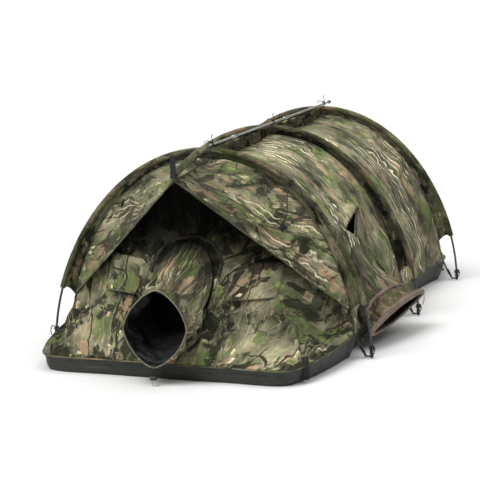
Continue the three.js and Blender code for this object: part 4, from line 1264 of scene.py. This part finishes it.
def snoot_drawcord():
    """Two strands, thin and side by side where the lock pinches and slides on them."""
    low = snoot_ring(1.0, 1.5 * np.pi)
    lock = np.array([0.0, -0.622, 0.027])
    strands = []
    for turn in (1, -1):
        run = [low + [0.006 * turn, -0.002, 0.004], low + [0.003 * turn, -0.006, -0.006]]
        run += [lock + [-0.0025, 0.0006 * turn, z] for z in (0.012, 0.0, -0.012, -0.024)]
        run = resample(smooth_curve(run, 10), 60)
        thin = smooth(run[:, 2], lock[2] + 0.016, lock[2] + 0.011)
        strands.append(tube_arrays(run, mix(0.0014, 0.00045, thin)))
    put("snoot_drawcord", strands, CORD, body="snoot_sleeve")


snoot_mouth()
snoot_drawcord()

# ---- Side snoots ----
SIDE_BASE, SIDE_BASE_UP = np.array([0.477, 0.390, 0.236]), np.array([-0.27, 0, 0.963])
SIDE_MOUTH = np.array([0.612, 0.355, 0.098])
SIDE_LONG, SIDE_UP = unit([0.18, 0.97, 0.14]), unit([0.25, -0.05, 0.96])


def side_ring(k, a, sign, inset=0.0):
    k, a = np.broadcast_arrays(np.asarray(k, float), np.asarray(a, float))
    long = mix(np.array([0, 1.0, 0]), SIDE_LONG, k[..., None])
    up = mix(SIDE_BASE_UP, SIDE_UP, k[..., None])
    length = mix(0.186, 0.245, k) - inset
    height = mix(0.102, 0.034, k) - inset
    across, high = pointed(a, mix(1.0, 1.25, k))
    out = mix(SIDE_BASE, SIDE_MOUTH, k[..., None])
    out = out + long * (length * across)[..., None] + up * (height * high)[..., None]
    return out * [sign, 1, 1]


def bay_x(y, z):
    """The side wall's x at a given y and height, by halving."""
    low, high = np.zeros(len(y)), np.ones(len(y))
    for _ in range(24):
        middle = (low + high) / 2
        above = bay_point(middle, np.clip(y, 0.002, PITCH - 0.002))[:, 2] > z
        low, high = np.where(above, middle, low), np.where(above, high, middle)
    return bay_point(low, np.clip(y, 0.002, PITCH - 0.002))[:, 0]


SIDE_SAG = ring_sag(lambda k, a: side_ring(k, a, 1), 30, 110, (0.04, 0.95), 0.05, 0.6, 0.022)


def side_skin(side, sign, bent):
    """The cloth of a side snoot, and the band that faces the upper half of its mouth."""
    flip = np.array([sign, 1, 1])
    rows, cols = 40, 220
    k, a, faces = ring_grid(0, 1, rows, cols)
    p = side_ring(k, a, 1) + sample_field(SIDE_SAG, a / (2 * np.pi), k, True)
    # The base ring lies on the wall itself.
    p[:, 0] = mix(bay_x(p[:, 1], p[:, 2]) + 0.0030, p[:, 0], smooth(k, 0.0, 0.25))
    axis = mix(SIDE_BASE, SIDE_MOUTH, k[:, None])
    faces, n = facing_out(p, faces, axis)
    slack = smooth(k, 0.0, 0.12) * smooth(k, 1.0, 0.92)
    y, high = p[:, 1], np.sin(a)
    lift = folds(k * 0.2, y + k * 0.05, 0.22, 0.050, 101) * 0.008
    lift += layered_noise(vec(k * 4, y * 8, high), 2, 102) * 0.006
    lift -= 0.012 * np.sin(np.pi * k) * smooth(high, 0.0, 1.0)
    p = (p + n * (slack * lift)[:, None]) * flip
    # Painted shade on the snoot's front end, beside the front hoop's web, and on its underside.
    tone = mix(0.22, 1.0, smooth(y + 0.10 * k, 0.26, 0.42)) * mix(0.55, 1.0, smooth(high, -0.6, 0.3))
    uv = vec(k * 0.2 + 0.1 * high, y + 0.1 * high + 9 + sign)
    name = f"side_snoot_{side}"
    bend(shell(f"{name}_fabric", p, faces[:, ::sign], uv, CAMO_SNOOT, 0.0013, tone), *bent, name)

    first, last, low = 5, int(cols * 0.46), int(rows * 0.68)
    patch = p.reshape(rows, cols, 3)[low:, first:last]
    inside = (axis * flip).reshape(rows, cols, 3)[low:, first:last].reshape(-1, 3)
    flat = patch.reshape(-1, 3)
    facing, n = facing_out(flat, grid_faces(last - first, rows - low), inside)
    down, round_it = np.arange(rows - low) * 0.005, np.arange(last - first) * 0.0022
    uv = vec(np.repeat(down, last - first), np.tile(round_it, rows - low))
    bend(shell(f"{name}_facing", flat + n * 0.0016, facing, uv, PINK_CAMO, 0.0012), *bent)
    thin = np.sin(np.linspace(0.12, np.pi - 0.12, last - first)) ** 0.5
    verts, faces, uv = tube_arrays(patch[0], 0.0075 * thin, 12, wobble=0.2, seed=8)
    bend(build(f"{name}_facing_fold", verts, faces, uv, [PINK_HEM]), *bent)


def side_mouth(side, sign):
    """Rolled drawcord hem round the mouth, two rows of stitching and the cord's tail."""
    name = f"side_snoot_{side}"
    ring = circle(240)
    lip = side_ring(1.0, ring, sign)
    lip[:, 2] += gradient_noise(vec(np.cos(ring) * 5, np.sin(ring) * 3, sign), 104) * 0.002
    thickness = mix(0.0045, 0.0115, 0.5 + 0.5 * np.sin(ring))
    put(f"{name}_hem", tube_arrays(lip, thickness, 14, closed=True, wobble=0.14, seed=7), PINK_HEM, body=name)
    rows = []
    for k in (0.86, 0.93):
        row = side_ring(k, ring, sign, -0.0022)
        rows.append((row, unit(row - mix(SIDE_BASE, SIDE_MOUTH, k) * [sign, 1, 1])))
    stitched(f"{name}_stitching", rows, name, closed=True, length=0.0045, radius=0.0006)
    hang = np.array([(0, -0.004, -0.002), (0.002, 0.010, -0.008), (0.004, 0.012, -0.030), (0, 0.006, -0.050)])
    tail = smooth_curve(side_ring(1.0, 0.0, sign) + hang * [sign, 1, 1], 8)
    put(f"{name}_cord", tube_arrays(tail, 0.0013), CORD, body=name)


for side, sign in SIDES:
    base = SIDE_BASE * [sign, 1, 1]
    side_skin(side, sign, (base, base + np.array([0.963 * sign, 0, 0.27]) * 0.07, f"side_snoot_{side}"))
    side_mouth(side, sign)


# ---- Window flaps ----
def plain_wall():
    nu, nv = 249, 118
    u, v = (q.ravel() for q in even_grid(nu, nv))
    p = end_wall_point(FRONT_HEM, -1, 0.0, (u * 2 - 1) * 0.965, 0.012 + v * 0.988)
    return tree_of(p, grid_faces(nu, nv))


PLAIN_WALL = plain_wall()


def window_flap(side, sign):
    """A flap over the window, sewn along its top. The left one curls up at its lower edge."""
    nx, nz, lap = 40, 30, 0.010
    high, low = WINDOW["high"] + lap, WINDOW["low"] - 0.012
    out = np.tile(np.linspace(WINDOW["inner"] - lap, WINDOW["outer"] + lap, nx), nz)
    z = np.repeat(np.linspace(high, low, nz), nx)
    x = out * sign
    pts, _ = laid_on(PLAIN_WALL, vec(x, -0.35, z), (0, 1, 0))
    drop = (high - z) / (high - low)
    wave = gradient_noise(vec(x * 14, z * 9, sign), 111) * 0.004
    curl = smooth(drop, 0.72, 1.0) * (0.016 * smooth(out, 0.32, 0.20) if sign < 0 else 0.001)
    off = 0.0022 + 0.0015 * smooth(drop, 0.0, 0.5) + curl + wave * drop * 0.6
    p = pts + WALL_NORMAL * off[:, None]
    faces, _ = facing_out(p, grid_faces(nx, nz), p - WALL_NORMAL)
    uv = wall_uv(p) + [0.3 * (sign < 0), 0]
    name = f"window_flap_{side}"
    obj = shell(f"{name}_fabric", p, faces, uv, CAMO_WALL, 0.0013)
    middle = nx // 2
    start = p[middle]
    down = unit(pts[(nz - 1) * nx + middle] - pts[middle])
    bend(obj, start, start + down * 0.02, name, name)
    hem = tube_arrays(p[-nx:] + WALL_NORMAL * 0.0004, 0.0014, wobble=0.1, seed=9)
    put(f"{name}_hem", hem, EDGE if sign < 0 else CAMO_HEM, body=name)


for side, sign in SIDES:
    window_flap(side, sign)


# ---- Seams, zips and edge bindings ----
def zip_on(name, tree, points, direction, width, coil, tape_look=ZIP_TAPE, lift=0.0008):
    """Zip: woven tape on both sides of a coil of teeth, stitched down."""
    pts, n = laid_on(tree, points, direction, lift)
    across = np.cross(unit(np.gradient(pts, axis=0)), n)
    tape = ribbon_arrays(pts + n * 0.0006, across, width, 0.0012, 5, 0.0008)
    put(f"{name}_tape", tape, tape_look, slot="webbing")
    tooth_pitch = 0.0016
    fine = resample(pts, max(int(travelled(pts)[-1] / tooth_pitch), 8))
    fine_n = unit(read_at(np.linspace(0, 1, len(fine)), np.linspace(0, 1, len(n)), n))
    teeth = coil * (1 + 0.32 * (np.arange(len(fine)) % 2))
    put(f"{name}_teeth", tube_arrays(fine + fine_n * coil, teeth), PLASTIC)
    rows = [(pts + across * width * q + n * 0.0018, n) for q in (-0.36, 0.36)]
    stitched(f"{name}_stitching", rows, pitch=0.006, length=0.004)


arc = np.radians(np.linspace(-12, 192, 120))
arch = on_wall(0.124 * np.cos(arc), 0.383 + 0.124 * np.sin(arc))
zip_on("front_arch_zip", WALL, arch, -WALL_NORMAL, 0.012, 0.0013, CAMO_PAINTED_SHADE)
for side, sign in SIDES:
    pts, n = laid_on(WALL, vec(np.linspace(0.150, 0.372, 50) * sign, -0.25, 0.352), (0, 1, 0), 0.0006)
    across = np.cross(unit(np.gradient(pts, axis=0)), n)
    stitched(f"front_wall_seam_{side}", [(pts + across * r, n) for r in (-0.004, 0.004)])

# The rear zip runs just outside the door's gap.
arc = np.radians(np.linspace(0, 180, 70))
door_top = vec(0.243 * np.cos(arc), 1.9, DOOR_HIGH - DOOR_ROUND + 0.138 * np.sin(arc))
door_side = vec(0.243, 1.9, np.linspace(0.109, DOOR_HIGH - 0.134, 30))
door_line = np.concatenate([door_side, door_top, door_side[::-1] * [-1, 1, 1]])
zip_on("rear_door_zip", REAR, resample(door_line, 180), (0, -1, 0), 0.015, 0.0016)


def hood_trim():
    edge, _ = laid_on(HOOD, hood_point(np.linspace(0, 1, 161), np.zeros(161)))
    put("hood_edge_binding", tube_arrays(edge, 0.0022, squash=(1.0, 1.3), wobble=0.12, seed=11), CAMO_HEM)
    u = np.linspace(0.01, 0.99, 240)
    inner, seam = hood_point(u, np.zeros(240)), hood_point(u, np.ones(240))
    rows = [laid_on(HOOD, inner + unit(seam - inner) * depth, lift=0.0002) for depth in (0.010, 0.014)]
    stitched("hood_edge_stitching", rows, pitch=0.006, length=0.004)


hood_trim()
SEAM_IN = 0.012
for hoop, roof, y in (("front", "front", SEAM_IN), ("middle", "front", PITCH - SEAM_IN),
                      ("middle", "rear", PITCH + SEAM_IN)):
    seam = laid_on(ROOF[roof], bay_point(np.linspace(-0.985, 0.985, 300), np.full(300, y)), lift=0.0003)
    stitched(f"{hoop}_seam_stitching_{roof}", [seam])

# The unzipped corner above each side snoot.
for side, sign in SIDES:
    line = mix(GAP[0] + [0.010, 0.004], GAP[2] + [0.012, -0.006], np.linspace(0, 1, 40)[:, None])
    pts = vec(bay_x(line[:, 0], line[:, 1]) * sign, line[:, 0], line[:, 1])
    zip_on(f"side_zip_{side}", ROOF["front"], pts, (-sign, 0, 0), 0.012, 0.0012, CAMO_PAINTED_SHADE, 0.0006)
    share = np.linspace(0, 1, 24, endpoint=False)[:, None]
    ring = np.concatenate([mix(a, b, share) for a, b in zip(GAP, np.roll(GAP, -1, 0))])
    pts = vec(bay_x(ring[:, 0], ring[:, 1]) * sign, ring[:, 0], ring[:, 1])
    put(f"side_gap_{side}_binding", tube_arrays(pts, 0.0018, closed=True, wobble=0.1), CAMO_HEM)


# ---- Looks of the CAD hardware that stays in view ----
KEPT_LOOKS = {"snoot_cord_lock": PLASTIC, "snoot_cord_lock_plunger": PLASTIC, "front_zip_slider": ZIP_METAL,
              "side_zip_slider_right": ZIP_METAL, "side_zip_slider_left": ZIP_METAL}
for name, look in KEPT_LOOKS.items():
    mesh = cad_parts[name].data
    mesh.materials.clear()
    mesh.materials.append(look)
    if look is PLASTIC:
        mesh.polygons.foreach_set("use_smooth", np.zeros(len(mesh.polygons), bool))


# ---- Straps, cords, toggles and feet ----
def strap(name, points, across, width, *nodes):
    pts = resample(smooth_curve(points, 12), 40)
    put(name, ribbon_arrays(pts, across, width, columns=5, crown=0.0005), WEBBING, *nodes)


POLE_FOOT = hoop_point(hoop_angle_at(0.014))
LEAN = unit(hoop_point(hoop_angle_at(0.040)) - POLE_FOOT)
FOOT_CAP = ((0, 0.0030), (0.04, 0.0052), (0.12, 0.0064), (0.30, 0.0066), (0.34, 0.0058), (0.40, 0.0058),
            (0.44, 0.0068), (0.86, 0.0066), (0.95, 0.0060), (1.0, 0.0046))
TOGGLE = ((0, 0.0018), (0.06, 0.0036), (0.2, 0.0042), (0.42, 0.0040), (0.46, 0.0030), (0.54, 0.0030),
          (0.58, 0.0040), (0.8, 0.0042), (0.94, 0.0036), (1, 0.0018))
ACROSS_Y = (0, 1, 0)


def foot_strap(hoop, side, y, flip):
    """From the hem to the foot ring, doubled back on itself near the ring."""
    hem = np.array([BODY_HALF - 0.001, y, HEM_Z - 0.002]) * flip
    ring = np.array([POLE_FOOT[0] - 0.022, y, 0.0085]) * flip
    back = mix(hem, ring, 0.55)
    bow = back + [0, 0.001, -0.005]
    strap(f"{hoop}_foot_webbing_{side}", [hem, mix(hem, bow, 0.6), bow, ring], ACROSS_Y, 0.020,
          f"{hoop}_foot_strap_{side}")
    doubled = [ring + [0, 0, 0.0022], mix(ring, back, 0.5) + [0, 0, 0.0045], back + [0, 0, 0.0040]]
    strap(f"{hoop}_foot_webbing_loop_{side}", doubled, ACROSS_Y, 0.019)


def foot_cap(hoop, side, foot, lean, sign):
    """Moulded cap on the pole's end, with a bridge to the ring that the strap holds."""
    centre = foot + np.array([-0.0135 * sign, 0, -0.007])
    ring = tube_arrays(ring_round(centre, (0.009, 0, 0), (0, 0.009, 0), circle(40)), 0.0018, 12, closed=True)
    cap = turned([foot - lean * 0.0118, foot + lean * 0.016], FOOT_CAP, 18)
    start = foot - lean * 0.006
    bridge = tube_arrays([mix(start, centre, q) for q in (0, 0.4, 0.75)], 0.0030, 10)
    put(f"{hoop}_foot_cap_{side}", [ring, cap, bridge], PLASTIC, f"{hoop}_foot_pin_{side}",
        body=f"{hoop}_foot_{side}")


def foot_lashing(hoop, side, foot, lean, sign):
    a = foot + lean * 0.022
    turn = np.linspace(0, 5 * np.pi, 70)
    coil = a + vec(0.0085 * np.cos(turn), 0.0085 * np.sin(turn), np.linspace(-0.006, 0.006, 70))
    tail = smooth_curve([coil[-1], a + [0.012 * sign, -0.012, 0.010], a + [0.016 * sign, -0.018, -0.006],
                         a + [0.010 * sign, -0.024, -0.022]], 8)
    put(f"{hoop}_foot_lashing_{side}", [tube_arrays(coil, 0.0019), tube_arrays(tail, 0.0016)], CORD)


def ridge_tie(hoop, y):
    """Cord wound round the ridge pole, with a knot and two tails."""
    turn = np.linspace(0, 6 * np.pi, 90)
    at = np.array([0, y, RIDGE_Z])
    coil = at + vec(0.0062 * np.cos(turn), np.linspace(-0.0045, 0.0045, 90), 0.0062 * np.sin(turn))
    up = ((0.001, 0, 0.006), (0.004, -0.004, 0.018), (-0.002, 0.002, 0.030), (0.003, 0.004, 0.036))
    down = ((-0.001, 0, 0.006), (-0.012, -0.004, 0.013), (-0.022, 0.003, 0.012), (-0.030, 0, 0.004))
    turn = turn[:30]
    knot = at + vec(0.0035 * np.cos(turn), 0.0035 * np.sin(turn), 0.0075 + turn * 0.0006)
    tails = [smooth_curve(at + np.array(run), 8) for run in (up, down)]
    parts = [tube_arrays(c, 0.0013) for c in [coil] + tails]
    put(f"{hoop}_tie_cord", parts + [tube_arrays(knot, 0.0016)], CORD, f"{hoop}_ridge_tie")


for k, hoop in enumerate(HOOPS):
    ridge_tie(hoop, k * PITCH + 0.0224)
    for side, sign in SIDES:
        flip = np.array([sign, 1, 1])
        foot = (POLE_FOOT + [0, k * PITCH, 0]) * flip
        foot_strap(hoop, side, k * PITCH, flip)
        foot_cap(hoop, side, foot, LEAN * flip, sign)
        foot_lashing(hoop, side, foot, LEAN * flip, sign)
peak = np.array([0, PEAK[1] - 0.006, PEAK[2] + 0.006])
rise = ((0, 0, 0), (0.001, -0.001, 0.026), (-0.001, 0.0, 0.054), (0, -0.001, 0.080))
strap("peak_tab_webbing", [peak + q for q in rise], (1, 0, 0), 0.020, "peak_tab")


def hood_patch():
    """A small webbing patch sewn flat on the hood."""
    width, length = 0.024, 0.030
    place, inward, reach = (0.3053, -0.092, 0.4797), (-0.55, 0.55, -0.63), 0.4
    at, n = laid_on(HOOD, [place], inward, 0.0012, reach)
    across = np.array([0.7, 0, -0.7])
    across = unit(across - n[0] * (across @ n[0]))
    along = np.cross(n[0], across)
    laid, n = laid_on(HOOD, at + along * np.linspace(-0.5, 0.5, 9)[:, None] * length, inward, 0.0014, reach)
    put("hood_patch", ribbon_arrays(laid, across, width, 0.0015, 5, 0.0003), WEBBING)
    middle, up = laid[4], n[4]
    # Sewn round its edge and once across.
    corners = np.array([(-1, -1), (1, -1), (1, 1), (-1, 1), (-1, -1), (1, 1)]) * 0.42
    line = middle + across * corners[:, :1] * width + along * corners[:, 1:] * length + up * 0.0010
    row = (resample(line, 60), np.tile(up, (60, 1)))
    stitched("hood_patch_stitching", [row], slot="webbing", pitch=0.0045, length=0.003, radius=0.0005)
    return middle, up


def hood_guy():
    """A cord from the front hoop's sleeve down to the patch on the hood and back."""
    middle, up = hood_patch()
    hang = middle + up * 0.004
    upper, lower = np.array([0.2950, -0.012, 0.6140]), np.array([0.3775, -0.013, 0.5430])
    path = [upper, mix(upper, hang, 0.35) + [0.004, -0.006, -0.006], mix(upper, hang, 0.7) + up * 0.012, hang,
            mix(hang, lower, 0.3) + up * 0.016 + [0, 0, -0.010], mix(hang, lower, 0.7) + up * 0.010, lower]
    put("hood_guy_cord", tube_arrays(smooth_curve(path, 12), 0.0014), CORD)
    for tag, at in (("upper", upper), ("lower", lower)):
        radial = unit(at * [1, 0, 1])
        centre = hoop_point(math.atan2(at[0] / HOOP_HALF, at[2] / HOOP_HEIGHT))
        loop = ring_round(centre, radial * 0.0118, (0, 0.0112, 0), np.linspace(0, 4 * np.pi, 50))
        loop = loop + np.cross(radial, [0, 1, 0]) * np.linspace(-0.003, 0.003, 50)[:, None]
        put(f"hood_guy_loop_{tag}", tube_arrays(loop, 0.0014), CORD)


def hem_toggle(side, sign, number, y):
    p = bay_point(1.0, y) * [sign, 1, 1]
    turn = np.linspace(0, 2 * np.pi, 24)
    drop = 1 - np.cos(turn)
    toggle = turned([p + [sign * 0.024, -0.011, -0.026], p + [sign * 0.024, 0.011, -0.026]], TOGGLE, 14)
    put(f"hem_toggle_{side}_{number}", toggle, PLASTIC)
    loop = p + vec(sign * (0.004 + 0.009 * drop), 0.007 * np.sin(turn), -0.004 - 0.010 * drop)
    put(f"hem_loop_{side}_{number}", tube_arrays(loop, 0.0012), CORD)


def corner_tab():
    """The pull tab and peg loop at the right front corner."""
    corner = end_hem_point(FRONT_HEM, np.array([0.55]), -1, 0.0)[0]
    out = unit([0.5, -0.85, 0])
    across = np.cross(out, [0, 0, 1])
    run = [corner + out * reach + [0, 0, z]
           for reach, z in ((-0.012, 0.030), (0.002, 0.004), (0.006, -0.020), (0.004, -0.044))]
    strap("corner_pull_tab_right", run, across, 0.024)
    eye = ring_round(corner + out * 0.005 + [0, 0, -0.044], across * 0.010, out * 0.010, circle(40))
    put("corner_peg_loop_right", tube_arrays(eye, 0.0016, 10, closed=True), PLASTIC)


hood_guy()
for side, sign in SIDES:
    for number, y in enumerate((0.055, PITCH - 0.05, PITCH + 0.06, LENGTH - 0.06)):
        hem_toggle(side, sign, number, y)
corner_tab()


# ---- Studio ----
def studio():
    bpy.ops.mesh.primitive_plane_add(size=400, location=(0, 8, 0))
    floor = bpy.context.object
    floor.name = "studio_floor"
    t, finish = new_material("studio_white")
    tone = noise(t, node(t, "TexCoord").outputs[3], (0.6, 0.6, 0.6), 2.0)
    white = ramp(t, tone, (0.3, (0.90, 0.90, 0.895)), (0.7, (0.93, 0.93, 0.925)))
    floor.data.materials.append(finish(Base_Color=white, Roughness=0.6, Specular_IOR_Level=0.2))
    world = bpy.data.worlds.new("studio")
    bpy.context.scene.world = world
    world.use_nodes = True
    wt = world.node_tree
    background = wt.nodes["Background"]
    background.inputs[0].default_value = (1, 1, 1, 1)
    seen = wt.nodes.new("ShaderNodeLightPath").outputs["Is Camera Ray"]
    wt.links.new(step(wt, seen, 0.0, 1.0, 0.20, 1.05), background.inputs[1])
    for name, aim, angle, strength in (("key", (0.42, 0.50, -1.0), 38, 2.1),
                                       ("overhead", (-0.15, -0.20, -1.0), 75, 1.5)):
        light = bpy.data.lights.new(name, "SUN")
        light.angle, light.energy = math.radians(angle), strength
        lamp = bpy.data.objects.new(name, light)
        bpy.context.scene.collection.objects.link(lamp)
        lamp.rotation_euler = Vector(aim).to_track_quat("-Z", "Y").to_euler()
    bpy.context.scene.view_settings.view_transform = "Standard"


def camera():
    data = bpy.data.cameras.new("camera")
    data.lens, data.sensor_width, data.clip_end = 149.4, 36, 200
    cam = bpy.data.objects.new("camera", data)
    bpy.context.scene.collection.objects.link(cam)
    azimuth, elevation = math.radians(17.03), math.radians(9.45)
    back = Vector((math.sin(azimuth) * math.cos(elevation), -math.cos(azimuth) * math.cos(elevation),
                   math.sin(elevation)))
    cam.location = (2.170, -6.717, 1.570)
    cam.rotation_euler = (-back).to_track_quat("-Z", "Y").to_euler()
    bpy.context.scene.camera = cam


studio()
camera()
